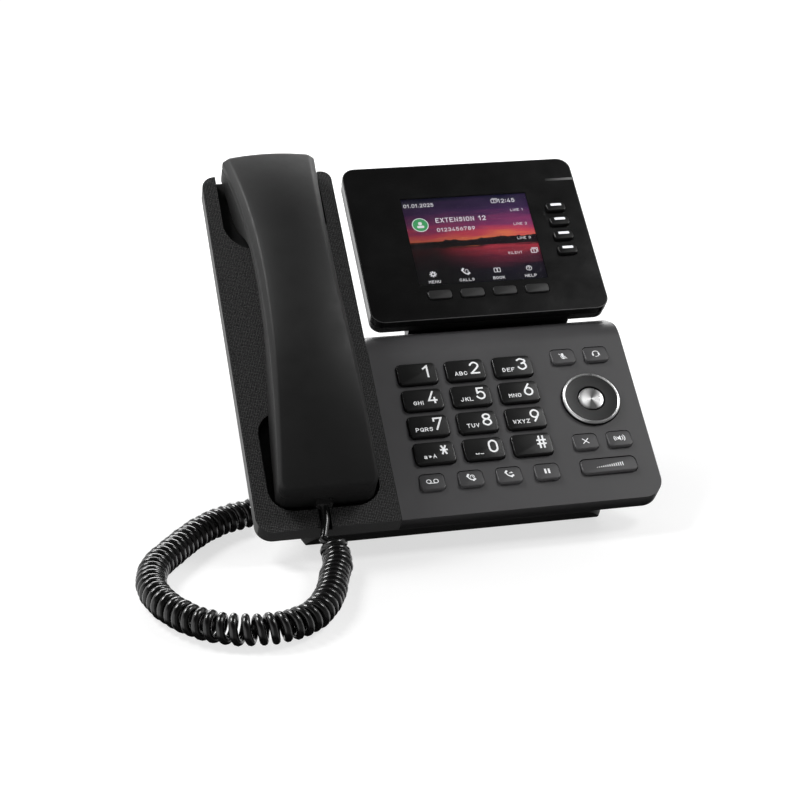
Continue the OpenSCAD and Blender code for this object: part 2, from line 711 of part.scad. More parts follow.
module handset_outer_shell() {
  color([0.035, 0.035, 0.037]) on_face() translate([handset_x, 0, 0])
    loft([for (i = [0:len(stations) - 1]) outer_ring(stations[i], hollow(i))]);
}

module handset_inner_shell() {
  color([0.035, 0.035, 0.037]) on_face() difference() {
    translate([handset_x, 0, 0])
      loft([for (i = [0:len(stations) - 1]) inner_ring(stations[i], hollow(i))]);
    translate(plug_at - [plug[0] / 2 + 0.1, 0, plug[1] / 2 + 0.1])
      cube([plug[0] + 0.2, plug[2] + 1, plug[1] + 0.2]);
  }
}

module handset_capsules() {
  color([0.2, 0.2, 0.2]) on_face() {
    translate([handset_x, 193.5, well_n + 3.3]) cylinder(r = 13, h = 5, $fn = smooth);
    translate([handset_x, 33, well_n + 2.6]) cylinder(r = 4, h = 3, $fn = 48);
  }
}

// ---------- cord ----------

module handset_plug() {
  color([0.1, 0.1, 0.1]) on_face()
    translate(plug_at - [plug[0] / 2, 0, plug[1] / 2]) cube([plug[0], plug[2], plug[1]]);
}

module base_plug() {
  color([0.1, 0.1, 0.1])
    translate([-wedge_x - 4, front_y + rj9_y[0] - plug[0] / 2, board_z + rj9_out[2] / 2 - plug[1] / 2])
      cube([plug[2], plug[0], plug[1]]);
}

// Routes, with distances measured back from the front edge
coil_route = [
  [-65, -8.8, 12], [-65, -13.3, 8.8], [-65.9, -20.8, 7.3], [-69.4, -30.8, 7.1], [-75, -49, 7.1],
  [-84.7, -65.2, 7.1], [-96.5, -73, 7.1], [-108.5, -74.1, 7.1], [-118.1, -72.1, 7.1],
  [-128.2, -66.7, 7.1], [-137.6, -57.1, 7.1], [-146, -41.7, 7.1], [-149.6, -23.5, 7.1],
  [-146.5, -5.1, 7.1], [-138.1, 9.2, 7.1], [-128, 23.2, 7.1], [-118.6, 33.6, 7.1],
  [-107.3, 42, 7.1], [-92.7, 47.7, 7.1]];
handset_lead_route = [[-66.3, 7.3, 23.9], [-66.4, 4.3, 21.5], [-66.9, 1.2, 19.2], [-67.9, -1.8, 17],
                      [-68.8, -4.6, 15], [-69.1, -6.7, 13.5], [-69.1, -8.3, 12.4]];
base_lead_route = [[-92.7, 47.7, 12.2], [-88.5, 49.3, 12.8], [-84.5, 52.2, 14.6], [-80, 55.6, 16.8],
                   [-76, 57, 17.4]];

// Smooth curve through the route's points
function catmull(a, b, c, d, t) = 0.5 * (2 * b + (c - a) * t + (2 * a - 5 * b + 4 * c - d) * t * t
                                         + (3 * b - a - 3 * c + d) * t * t * t);
function route(p, steps) = concat(
  [for (i = [0:len(p) - 2]) for (k = [0:steps - 1])
    catmull(p[max(i - 1, 0)], p[i], p[i + 1], p[min(i + 2, len(p) - 1)], k / steps)],
  [p[len(p) - 1]]);
function unit(v) = v / norm(v);
function heading(p, i) = unit(p[min(i + 1, len(p) - 1)] - p[max(i - 1, 0)]);

module tube(path, d, sides) {
  loft([for (i = [0:len(path) - 1])
    let (t = heading(path, i), u = unit(cross(t, [0, 0, 1])), v = cross(t, u))
    [for (k = [0:sides - 1]) let (a = 360 * (k + 0.5) / sides)
      path[i] + d / 2 * (cos(a) * u + sin(a) * v)]]);
}

module cord_coil() {
  color([0.04, 0.04, 0.04]) translate([0, front_y, 0]) tube(route(coil_route, 2), coil_d, 12);
}

module cord_lead_handset() {
  color([0.04, 0.04, 0.04]) translate([0, front_y, 0]) tube(route(handset_lead_route, 2), cord_d, 8);
}

module cord_lead_base() {
  color([0.04, 0.04, 0.04]) translate([0, front_y, 0]) tube(route(base_lead_route, 2), cord_d, 8);
}

cradle_cover();
keypad_cover();
lower_housing();
stand_foot();
rubber_feet();
main_board();
keypad_board();
dome_mat();
loudspeaker();
rear_jacks();
side_jacks();
housing_screws();
hinge_pin();
hook_switch();
key_1();
key_2();
key_3();
key_4();
key_5();
key_6();
key_7();
key_8();
key_9();
key_star();
key_0();
key_hash();
voicemail_key();
call_list_key();
redial_key();
hold_key();
mute_key();
headset_key();
cancel_key();
speaker_key();
volume_rocker();
navigation_carrier();
navigation_ring();
navigation_rim();
ok_button();
soft_key_1();
soft_key_2();
soft_key_3();
soft_key_4();
line_key_1();
line_key_2();
line_key_3();
line_key_4();
display_bezel();
display_lens();
lcd_panel();
display_board();
display_rear_shell();
handset_outer_shell();
handset_inner_shell();
handset_capsules();
handset_plug();
base_plug();
cord_coil();
cord_lead_handset();
cord_lead_base();
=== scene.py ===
"""Looks of a desk telephone: camera, light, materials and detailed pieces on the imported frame.

Lengths in the tables are millimetres. FACE maps face coordinates (x across, y up the slope, z out
of the keypad face) to the frame. DESK maps level ones, in which y is the distance back from the
front edge of the body and z the height over the desk. The camera, the lights and the materials
use metres, apart from what a material reads from face_coords().
"""
import json
import math

import bpy
from mathutils import Matrix, Vector


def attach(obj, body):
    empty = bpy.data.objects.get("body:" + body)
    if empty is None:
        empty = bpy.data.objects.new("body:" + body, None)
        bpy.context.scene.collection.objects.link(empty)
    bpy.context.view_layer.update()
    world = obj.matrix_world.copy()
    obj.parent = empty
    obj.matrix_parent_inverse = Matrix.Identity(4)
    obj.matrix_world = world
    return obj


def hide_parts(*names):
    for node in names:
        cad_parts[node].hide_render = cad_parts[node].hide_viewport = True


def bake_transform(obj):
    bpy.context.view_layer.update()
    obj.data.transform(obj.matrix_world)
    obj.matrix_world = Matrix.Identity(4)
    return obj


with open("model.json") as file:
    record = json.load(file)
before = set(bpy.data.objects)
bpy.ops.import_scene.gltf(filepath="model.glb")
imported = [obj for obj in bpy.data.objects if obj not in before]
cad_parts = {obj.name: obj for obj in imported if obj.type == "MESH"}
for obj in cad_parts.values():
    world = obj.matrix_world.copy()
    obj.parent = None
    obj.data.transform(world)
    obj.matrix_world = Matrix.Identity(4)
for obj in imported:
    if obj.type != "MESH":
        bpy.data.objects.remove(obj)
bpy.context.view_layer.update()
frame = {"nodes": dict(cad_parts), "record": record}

SLOPE = math.radians(38)
BODY_LEN, BODY_T, EDGE_Z = 207.5, 9.0, 17.0
FRONT_Y = -(BODY_LEN * math.cos(SLOPE) + BODY_T * math.sin(SLOPE)) / 2
MM = Matrix.Scale(0.001, 4)
FACE = MM @ Matrix.Translation((0, FRONT_Y, EDGE_Z)) @ Matrix.Rotation(SLOPE, 4, "X")
DESK = MM @ Matrix.Translation((0, FRONT_Y, 0))

RING_AT = (74.5, 56.2)
SCREEN_X, SCREEN_Y, SCREEN_Z = (2.4, 70.0), (130.7, 186.3), -1.57
DISPLAY_X, DISPLAY_Y, DISPLAY_R = (-25.7, 98.3), (110.0, 207.5), 7.0


# ---------- camera ----------

camera = bpy.data.objects.new("camera", bpy.data.cameras.new("camera"))
bpy.context.collection.objects.link(camera)
camera.data.lens = 82.2
camera.data.sensor_width = 36
camera.location = (-0.2093, -0.8380, 0.3625)
camera.rotation_euler = Vector((0.2147, 0.9131, -0.3467)).to_track_quat("-Z", "Y").to_euler()
camera.data.clip_start, camera.data.clip_end = 0.01, 50
bpy.context.scene.camera = camera


# ---------- node helpers ----------

class Nodes:
    """Builds the node tree of one material or of the world."""

    def __init__(self, owner):
        owner.use_nodes = True
        self.owner, self.tree = owner, owner.node_tree
        self.shader = self.tree.nodes.get("Principled BSDF")
        self.coords = self.tree.nodes.new("ShaderNodeTexCoord").outputs["Object"]

    def put(self, value, socket):
        if isinstance(value, bpy.types.NodeSocket):
            self.tree.links.new(value, socket)
        else:
            socket.default_value = value

    def fill(self, node, **values):
        """Fills in a node's inputs by name."""
        for key, value in values.items():
            self.put(value, node.inputs[key.replace("_", " ").title().replace("Ior", "IOR")])
        return node

    def set(self, **values):
        self.fill(self.shader, **values)

    def math(self, operation, *values):
        node = self.tree.nodes.new("ShaderNodeMath")
        node.operation = operation
        for value, socket in zip(values, node.inputs):
            self.put(value, socket)
        return node.outputs[0]

    def add(self, a, b):
        return self.math("ADD", a, b)

    def times(self, a, b):
        return self.math("MULTIPLY", a, b)

    def wave(self, kind, value, rate, shift=0.0):
        """A sine or cosine of value times rate plus shift."""
        return self.math(kind, self.add(self.times(value, rate), shift))

    def noise(self, scale, detail=3.0, rough=0.55, coords=None):
        node = self.tree.nodes.new("ShaderNodeTexNoise")
        self.fill(node, vector=coords or self.coords, scale=scale, detail=detail, roughness=rough)
        return node.outputs["Fac"]

    def spread(self, value, low, high, from_low=0.3, from_high=0.7):
        """Value moved from one range to another and kept inside it."""
        node = self.tree.nodes.new("ShaderNodeMapRange")
        for v, socket in zip((value, from_low, from_high, low, high), node.inputs):
            self.put(v, socket)
        return node.outputs[0]

    def mix(self, factor, a, b, blend="MIX"):
        node = self.tree.nodes.new("ShaderNodeMix")
        node.data_type, node.blend_type = "RGBA", blend
        self.put(factor, node.inputs[0])
        self.put(a, node.inputs[6])
        self.put(b, node.inputs[7])
        return node.outputs[2]

    def cloudy(self, low, high, *noise):
        """A colour that wanders between two."""
        return self.mix(self.spread(self.noise(*noise), 0, 1), low, high)

    def face_coords(self, origin=(0, 0, 0)):
        """Object coordinates turned into the sloping face's millimetres, counted from origin."""
        node = self.tree.nodes.new("ShaderNodeMapping")
        self.fill(node, vector=self.coords, rotation=(-SLOPE, 0, 0), scale=(1000, 1000, 1000),
                  location=FACE.inverted().translation - Vector(origin))
        return node.outputs[0]

    def split(self, vector):
        node = self.tree.nodes.new("ShaderNodeSeparateXYZ")
        self.put(vector, node.inputs[0])
        return node.outputs

    def combine(self, *axes):
        node = self.tree.nodes.new("ShaderNodeCombineXYZ")
        for value, socket in zip(axes, node.inputs):
            self.put(value, socket)
        return node.outputs[0]

    def length(self, vector):
        node = self.tree.nodes.new("ShaderNodeVectorMath")
        node.operation = "LENGTH"
        self.put(vector, node.inputs[0])
        return node.outputs["Value"]

    def facing(self):
        """The surface's own direction in the frame."""
        return self.split(self.tree.nodes.new("ShaderNodeTexCoord").outputs["Normal"])

    def bump(self, height, strength, distance):
        node = self.tree.nodes.new("ShaderNodeBump")
        self.fill(node, height=height, strength=strength, distance=distance)
        self.put(node.outputs[0], self.shader.inputs["Normal"])


def material(name):
    return Nodes(bpy.data.materials.new(name))


def grey(v, tint=(1, 1, 1)):
    return (v * tint[0], v * tint[1], v * tint[2], 1)


def shaded(colour, share):
    return tuple(c * share for c in colour[:3]) + (1,)


# ---------- materials ----------

PANEL_TINT = (1.0, 0.985, 1.02)
WEAVE_PERIOD = 1.6
TURNING_PERIOD = 0.16
FLANK_X = -97.6


def plastic(name, colour, rough, grain=0.00025, depth=0.00002, strength=0.5, coat=0.0,
            specular=0.5):
    """Moulded plastic: fine grain, faint colour variation and handling marks in the gloss."""
    n = material(name)
    n.set(base_color=n.cloudy(shaded(colour, 0.88), shaded(colour, 1.12), 28, 4),
          roughness=n.spread(n.noise(90, 5, 0.65), rough * 0.9, rough * 1.12),
          specular_ior_level=specular)
    n.bump(n.noise(1 / grain, 2, 0.5), strength, depth)
    if coat:
        n.set(coat_weight=coat, coat_roughness=0.12)
    return n.owner


def legend(name, colour, glow):
    """White print with a faint glow that is painted light, or a lamp window that glows."""
    n = material(name)
    n.set(base_color=n.cloudy(shaded(colour, 0.94), colour, 400),
          roughness=n.spread(n.noise(300), 0.42, 0.55), emission_color=colour,
          emission_strength=glow)
    return n.owner


def lit_sign(name, colour, strength):
    """A lit sign on the screen."""
    n = material(name)
    n.set(base_color=grey(0.01), roughness=0.4, emission_strength=strength,
          emission_color=n.cloudy(shaded(colour, 0.93), colour, 900))
    return n.owner


def woven_black():
    """Black cover: a fine diagonal weave on its face; the smooth wells and walls off the face
    painted near-black, partly their own black and partly painted shade, and the left flank painted
    lighter grey as a painted highlight.
    """
    n = material("cradle_weave")
    face = n.face_coords()
    x, y, depth = n.split(face)
    toward = n.facing()
    rate = 2 * math.pi / WEAVE_PERIOD
    across = n.wave("SINE", n.add(x, y), rate)
    along = n.wave("SINE", n.math("SUBTRACT", x, y), rate)
    lumps = n.noise(1.5, 2, 0.6, face)
    height = n.add(n.times(n.times(across, along), 0.5),
                   n.times(n.math("SUBTRACT", lumps, 0.5), 2.2))
    thread = n.spread(height, 0, 1, -0.12, 0.42)
    on_face = n.times(n.spread(depth, 0, 1, -1.3, -0.7), n.spread(toward[2], 0, 1, -0.1, 0.3))
    # Painted shade: off the face, walls near the front are painted dark grey and the wells and
    # other walls near-black, partly their own black plastic.
    on_front = n.times(n.spread(y, 1, 0, 3, 9), n.spread(toward[2], 1, 0, -0.2, 0.2))
    # Painted highlight: the left flank alone is painted lighter grey.
    painted_flank_highlight = n.times(n.math("LESS_THAN", x, FLANK_X), n.spread(toward[0], 1, 0, -0.9, -0.7))
    colour = n.mix(on_face, n.mix(on_front, grey(0.004), grey(0.024)),
                   n.mix(thread, grey(0.0015), grey(0.095)))
    n.set(base_color=n.mix(painted_flank_highlight, colour, grey(0.11)), roughness=n.spread(lumps, 0.5, 0.7),
          specular_ior_level=0.35)
    n.bump(n.times(thread, on_face), 0.7, 0.0001)
    return n.owner


def panel():
    """Fine matte grey on the sloping face, painted lighter at the left and darker at the right as
    painted light; the walls that look at the desk painted darker, partly their own dark and partly
    painted shade.
    """
    n = material("panel_grey")
    down = n.spread(n.facing()[2], 1, 0, -0.15, 0.2)
    x, _, depth = n.split(n.face_coords())
    # Painted light: the face is painted lighter at the left and darker towards the right.
    shade = n.add(n.spread(x, 0.4, -0.4, -30, 98), n.spread(n.noise(28, 4), 0.4, 0.6))
    face = n.mix(shade, grey(0.052, PANEL_TINT), grey(0.092, PANEL_TINT))
    # Painted shade: the walls are painted darker further down and lighter at their top edge.
    wall = n.mix(n.spread(depth, 0, 1, -6, -0.5), grey(0.008, PANEL_TINT), grey(0.026, PANEL_TINT))
    n.set(base_color=n.mix(down, face, wall), roughness=n.spread(n.noise(90, 5, 0.65), 0.36, 0.44))
    n.bump(n.noise(4000, 2, 0.5), 0.4, 0.000015)
    return n.owner


def lamp_window():
    """Smoked window of the message lamp, darker towards the screen."""
    n = material("lamp_grey")
    x = n.split(n.face_coords())[0]
    n.set(base_color=n.mix(n.spread(x, 0, 1, 83.0, 96.0), grey(0.01), grey(0.2)),
          roughness=n.spread(n.noise(300), 0.3, 0.4))
    return n.owner


def side_trim(name, front, side, rough):
    """Black front with a silver-grey finish on the faces that look sideways."""
    n = material(name)
    sideways = n.spread(n.math("ABSOLUTE", n.facing()[0]), 0, 1, 0.62, 0.78)
    cloud = n.spread(n.noise(30, 4), 0.85, 1.15)
    n.set(base_color=n.mix(sideways, front, side), metallic=n.times(sideways, 0.7),
          roughness=n.times(n.spread(n.noise(110, 5), rough * 0.92, rough * 1.1), cloud))
    return n.owner


def brushed_disc(centre):
    """Radially turned metal: fine rings, with light and dark cones round the centre painted into
    the colour as painted reflections.
    """
    n = material("brushed_disc")
    local = n.face_coords(centre)
    x, y, _ = n.split(local)
    angle = n.math("ARCTAN2", y, x)
    # Painted reflection: the shine of the turned metal is painted into the base colour as cones
    # round the centre.
    painted_cone_reflections = n.add(n.wave("COSINE", angle, 2.0, 0.35),
                  n.times(n.wave("COSINE", angle, 3.0, 1.1), 0.45))
    n.set(base_color=n.mix(n.spread(painted_cone_reflections, 0, 1, -1.0, 1.2), grey(0.10), grey(0.9)),
          metallic=0.85, roughness=n.spread(n.noise(600), 0.26, 0.38))
    n.bump(n.wave("SINE", n.length(local), 2 * math.pi / TURNING_PERIOD), 0.35, 0.000006)
    return n.owner


def metal(name, shade, rough, grain, depth):
    n = material(name)
    n.set(base_color=n.mix(n.noise(60), grey(shade * 0.92), grey(shade)), metallic=1.0,
          roughness=n.spread(n.noise(160, 4), rough * 0.85, rough * 1.2))
    n.bump(n.noise(1 / grain, 2), 0.2, depth)
    return n.owner


def board():
    """Green solder mask over copper tracks."""
    n = material("board_green")
    cells = n.tree.nodes.new("ShaderNodeTexVoronoi")
    cells.feature = "DISTANCE_TO_EDGE"
    n.fill(cells, vector=n.coords, scale=240)
    track = n.spread(cells.outputs[0], 1, 0, 0.03, 0.09)
    n.set(base_color=n.mix(track, (0.006, 0.075, 0.03, 1), (0.02, 0.16, 0.06, 1)),
          roughness=n.spread(n.noise(200), 0.25, 0.4))
    n.bump(track, 0.3, 0.00003)
    return n.owner


# Colours from the foot of the screen's picture to its top: dark shore, water, hills, evening sky
DUSK = [(0.0, (0.002, 0.002, 0.006)), (0.16, (0.006, 0.004, 0.012)), (0.30, (0.11, 0.012, 0.03)),
        (0.41, (0.40, 0.03, 0.05)), (0.455, (0.02, 0.004, 0.01)), (0.485, (0.85, 0.22, 0.07)),
        (0.56, (0.62, 0.06, 0.10)), (0.68, (0.24, 0.035, 0.13)), (0.82, (0.055, 0.02, 0.085)),
        (1.0, (0.008, 0.008, 0.03))]
SHORE_V, WATER_V = 0.43, 0.5


def screen_picture():
    """A lit colour picture of a plain sunset over water, made from gradients and noise.

    u and v run from 0 to 1 across and up the screen.
    """
    n = material("screen_picture")
    x, y, _ = n.split(n.face_coords((SCREEN_X[0], SCREEN_Y[0], 0)))
    u = n.times(x, 1 / (SCREEN_X[1] - SCREEN_X[0]))
    v = n.times(y, 1 / (SCREEN_Y[1] - SCREEN_Y[0]))
    streak = n.noise(1.0, 5, 0.6, n.combine(n.times(u, 2.2), n.times(v, 13.0)))
    sky = n.tree.nodes.new("ShaderNodeValToRGB")
    while len(sky.color_ramp.elements) < len(DUSK):
        sky.color_ramp.elements.new(0.5)
    for element, (at, colour) in zip(sky.color_ramp.elements, DUSK):
        element.position = at
        element.color = (*colour, 1)
    n.put(n.add(v, n.times(n.math("SUBTRACT", streak, 0.5), 0.34)), sky.inputs[0])
    # Dark hills on the far shore, low at the left and higher at the right
    ridge = n.add(n.times(n.noise(1.0, 4, 0.6, n.combine(n.times(u, 5.0))), 0.16),
                  n.add(n.times(u, 0.035), 0.405))
    hill = n.times(n.math("LESS_THAN", v, ridge), n.math("GREATER_THAN", v, SHORE_V))
    picture = n.mix(hill, sky.outputs[0], (0.006, 0.003, 0.006, 1))
    # The water is dark at the left and catches the light at the right, and the sky follows it
    drift = n.add(n.math("SUBTRACT", u, n.times(streak, 0.5)), n.times(v, 0.25))
    water = n.mix(n.spread(drift, 0.04, 1.0, 0.05, 0.5), grey(0.0), grey(1.0))
    above = n.mix(n.spread(u, 0, 1, 0.0, 0.9), grey(0.45), grey(1.0))
    picture = n.mix(1.0, picture, n.mix(n.math("LESS_THAN", v, WATER_V), above, water), "MULTIPLY")
    inside = n.times(n.times(n.math("GREATER_THAN", u, 0.0), n.math("LESS_THAN", u, 1.0)),
                     n.times(n.math("GREATER_THAN", v, 0.0), n.math("LESS_THAN", v, 1.0)))
    n.set(base_color=(0.004, 0.004, 0.004, 1), roughness=0.3, emission_strength=0.9,
          emission_color=n.mix(inside, (0.001, 0.001, 0.001, 1), picture))
    return n.owner


def lens_glass():
    n = material("lens_glass")
    n.set(base_color=(0.93, 0.93, 0.95, 1), roughness=0.03, transmission_weight=1.0, ior=1.45)
    n.bump(n.noise(15), 0.02, 0.0001)
    return n.owner


MATERIALS = {
    "cradle_black": woven_black(),
    "panel_grey": panel(),
    "housing_black": plastic("housing_black", grey(0.0045), 0.5, 0.0004, 0.00004),
    "rubber_black": plastic("rubber_black", grey(0.006), 0.75, 0.0006, 0.00005),
    "mat_silicone": plastic("mat_silicone", grey(0.5, (1, 1, 0.95)), 0.5),
    "board_green": board(),
    "driver_black": plastic("driver_black", grey(0.03), 0.7, 0.0006, 0.00006),
    "jack_plastic": plastic("jack_plastic", grey(0.02), 0.35),
    "steel": metal("steel", 0.62, 0.28, 0.0002, 0.000006),
    "key_black": plastic("key_black", grey(0.0055), 0.3, depth=0.000004, strength=0.2),
    "key_grey": plastic("key_grey", grey(0.066, PANEL_TINT), 0.45),
    "ring_black": plastic("ring_black", grey(0.004), 0.42, depth=0.000004, strength=0.2),
    "display_black": side_trim("display_black", grey(0.0035), grey(0.16), 0.22),
    "shell_black": side_trim("shell_black", grey(0.005), grey(0.2), 0.4),
    # Painted highlight: a lighter grey for the bead round the display's front edge.
    "edge_grey": plastic("edge_grey", grey(0.07), 0.35, depth=0.000004, strength=0.2),
    "lens_glass": lens_glass(),
    "screen": screen_picture(),
    "handset_black": plastic("handset_black", grey(0.0115), 0.5, 0.0003, 0.00001, 0.3,
                             specular=0.3),
    "cord_black": plastic("cord_black", grey(0.0045), 0.24, 0.0008, 0.000008, 0.3, coat=0.5),
    "plug_black": plastic("plug_black", grey(0.02), 0.2, coat=0.4),
    "chrome": metal("chrome", 0.92, 0.3, 0.0003, 0.0000003),
    # The key print's faint glow is painted light; the print is no lamp.
    "legend": legend("legend_white", (0.86, 0.87, 0.88, 1), 0.32),
    "light": legend("light_window", (0.8, 0.82, 0.85, 1), 0.6),
    "lamp_grey": lamp_window(),
    "soft_black": plastic("soft_black", grey(0.014), 0.42, depth=0.000008, strength=0.3),
    "screen_white": lit_sign("screen_white", (0.93, 0.93, 0.95, 1), 0.85),
    "screen_green": lit_sign("screen_green", (0.06, 0.46, 0.15, 1), 0.75),
    "ok_silver": brushed_disc((*RING_AT, 1.2)),
}


# ---------- mesh helpers ----------

def add(name, verts, faces, body, look, slot=None, replaces=(), matrix=FACE, sharp=35, flat=False):
    """One piece from local points, in place, smooth up to an angle and riding on its body."""
    mesh = bpy.data.meshes.new(name)
    mesh.from_pydata([matrix @ Vector(v) for v in verts], [], faces)
    mesh.validate()
    mesh.materials.append(MATERIALS[look])
    if not flat:
        mesh.shade_smooth()
        mesh.set_sharp_from_angle(angle=math.radians(sharp))
    obj = bpy.data.objects.new(name, mesh)
    bpy.context.collection.objects.link(obj)
    if body:
        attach(obj, body)
    if replaces:
        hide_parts(*replaces)
    return obj


def loft(rings, looped=False):
    """A closed skin through rings of the same count, capped or joined up into a loop."""
    n, count = len(rings[0]), len(rings)
    faces = []
    for j in range(count if looped else count - 1):
        a, b = j * n, (j + 1) % count * n
        faces += [(a + i, a + (i + 1) % n, b + (i + 1) % n, b + i) for i in range(n)]
    if not looped:
        faces.append(tuple(range(n - 1, -1, -1)))
        faces.append(tuple(range((count - 1) * n, count * n)))
    return [p for ring in rings for p in ring], faces


def join(parts):
    """Several (verts, faces) as one."""
    verts, faces = [], []
    for v, f in parts:
        base = len(verts)
        verts += v
        faces += [tuple(base + i for i in face) for face in f]
    return verts, faces


def polar(x, y, r, degrees):
    return x + r * math.cos(math.radians(degrees)), y + r * math.sin(math.radians(degrees))


def circle(x, y, r, start=0, end=360, steps=20):
    return [polar(x, y, r, start + (end - start) * i / steps) for i in range(steps + 1)]


def rounded(x0, y0, x1, y1, r, steps=6):
    """Outline of a rectangle with rounded corners, anticlockwise."""
    r = min(r, (x1 - x0) / 2 - 1e-4, (y1 - y0) / 2 - 1e-4)
    corners = ((x1 - r, y0 + r, -90), (x1 - r, y1 - r, 0), (x0 + r, y1 - r, 90),
               (x0 + r, y0 + r, 180))
    return [p for x, y, start in corners for p in circle(x, y, r, start, start + 90, steps)]


def level(points, z):
    return [(x, y, z) for x, y in points]


def lathe(profile, centre, sides, looped=False):
    """A profile of (radius, height) turned round an axis that leaves the face at centre."""
    return loft([level(circle(*centre, r, steps=sides)[:-1], z) for r, z in profile], looped)


def catmull(points, steps):
    """A smooth curve through points."""
    out = []
    last = len(points) - 1
    for i in range(last):
        a, b, c, d = (Vector(points[max(0, min(last, i + k))]) for k in (-1, 0, 1, 2))
        for k in range(steps):
            t = k / steps
            out.append(0.5 * (2 * b + (c - a) * t + (2 * a - 5 * b + 4 * c - d) * t * t
                              + (3 * b - a - 3 * c + d) * t * t * t))
    out.append(Vector(points[-1]))
    return out


def even(points, gap):
    """The same line with points at an even distance."""
    total = [0.0]
    for a, b in zip(points, points[1:]):
        total.append(total[-1] + (b - a).length)
    count = max(2, round(total[-1] / gap))
    out, k = [], 0
    for i in range(count + 1):
        want = total[-1] * i / count
        while k < len(total) - 2 and total[k + 1] < want:
            k += 1
        span = total[k + 1] - total[k]
        share = 0 if span == 0 else (want - total[k]) / span
        out.append(points[k].lerp(points[k + 1], share))
    return out


def turn(points, size, steps=3):
    """An open outline with every inner corner eased into a short curve."""
    out = [Vector(points[0])]
    for a, b, c in zip(points, points[1:], points[2:]):
        a, b, c = Vector(a), Vector(b), Vector(c)
        near = b + (a - b).normalized() * min(size, (a - b).length / 2)
        far = b + (c - b).normalized() * min(size, (c - b).length / 2)
        for k in range(steps + 1):
            t = k / steps
            out.append(near * (1 - t) ** 2 + b * 2 * t * (1 - t) + far * t * t)
    out.append(Vector(points[-1]))
    return out


def tube(path, radius, sides):
    """A skin round a line, turned as little as possible from one ring to the next."""
    rings = []
    u = None
    for i, p in enumerate(path):
        t = (path[min(i + 1, len(path) - 1)] - path[max(i - 1, 0)]).normalized()
        if u is None:
            u = t.orthogonal().normalized()
        u = (u - t * u.dot(t)).normalized()
        v = t.cross(u)
        angles = [2 * math.pi * k / sides for k in range(sides)]
        rings.append([p + radius * (math.cos(a) * u + math.sin(a) * v) for a in angles])
    return loft(rings)


# ---------- printed marks: thin solids that rest on surface(x, y) ----------

INK, INK_DEPTH = 0.02, 0.1
SHARPEST_MITRE = 0.45


def strip(points, width, surface, ends=0.0):
    """A line of even width along points, made longer by ends at each open end."""
    points = [Vector(p) for p in points]
    looped = (points[0] - points[-1]).length < 1e-6
    if looped:
        points = points[:-1]
    n = len(points)
    rings = []
    for i, p in enumerate(points):
        before = points[i - 1] if looped or i else None
        after = points[(i + 1) % n] if looped or i < n - 1 else None
        d1 = (p - before).normalized() if before is not None else (after - p).normalized()
        d2 = (after - p).normalized() if after is not None else d1
        n1, n2 = Vector((-d1.y, d1.x)), Vector((-d2.y, d2.x))
        across = (n1 + n2).normalized() if (n1 + n2).length > 1e-6 else n1
        half = across * (width / 2 / max(SHARPEST_MITRE, across.dot(n1)))
        if before is None:
            p = p - d1 * ends
        if after is None:
            p = p + d1 * ends
        a, b = p - half, p + half
        rings.append([(q.x, q.y, surface(q.x, q.y) + z)
                      for q, z in ((a, INK), (b, INK), (b, -INK_DEPTH), (a, -INK_DEPTH))])
    return loft(rings, looped)


def patch(points, surface, up=INK):
    """A filled shape over an outline that runs anticlockwise."""
    return loft([[(x, y, surface(x, y) + z) for x, y in points] for z in (-INK_DEPTH, up)])


def line(points, width=0.42):
    """Draws a line when called with its place and the surface that it rests on."""
    return lambda x, y, top: strip([(x + px, y + py) for px, py in points], width, top, width / 2)


def shape(points):
    return lambda x, y, top: patch([(x + px, y + py) for px, py in points], top)


def box(x0, x1, height):
    return shape([(x0, -height), (x1, -height), (x1, height), (x0, height)])


def arc(x, y, r, start, end, width=0.42):
    return line(circle(x, y, r, start, end, 12), width)


def outline(x0, y0, x1, y1, r, width=0.3):
    points = rounded(x0, y0, x1, y1, r, 3)
    return line(points + points[:1], width)


def receiver(x, y):
    """A telephone receiver: a bowed handle with a thick end at each side."""
    bow = circle(x + 2.1, y + 2.1, 3.3, 192, 258, 8)
    return [line(bow, 0.62), line([bow[0], (bow[0][0] + 0.55, bow[0][1] + 0.75)], 1.0),
            line([bow[-1], (bow[-1][0] + 0.75, bow[-1][1] + 0.55)], 1.0)]


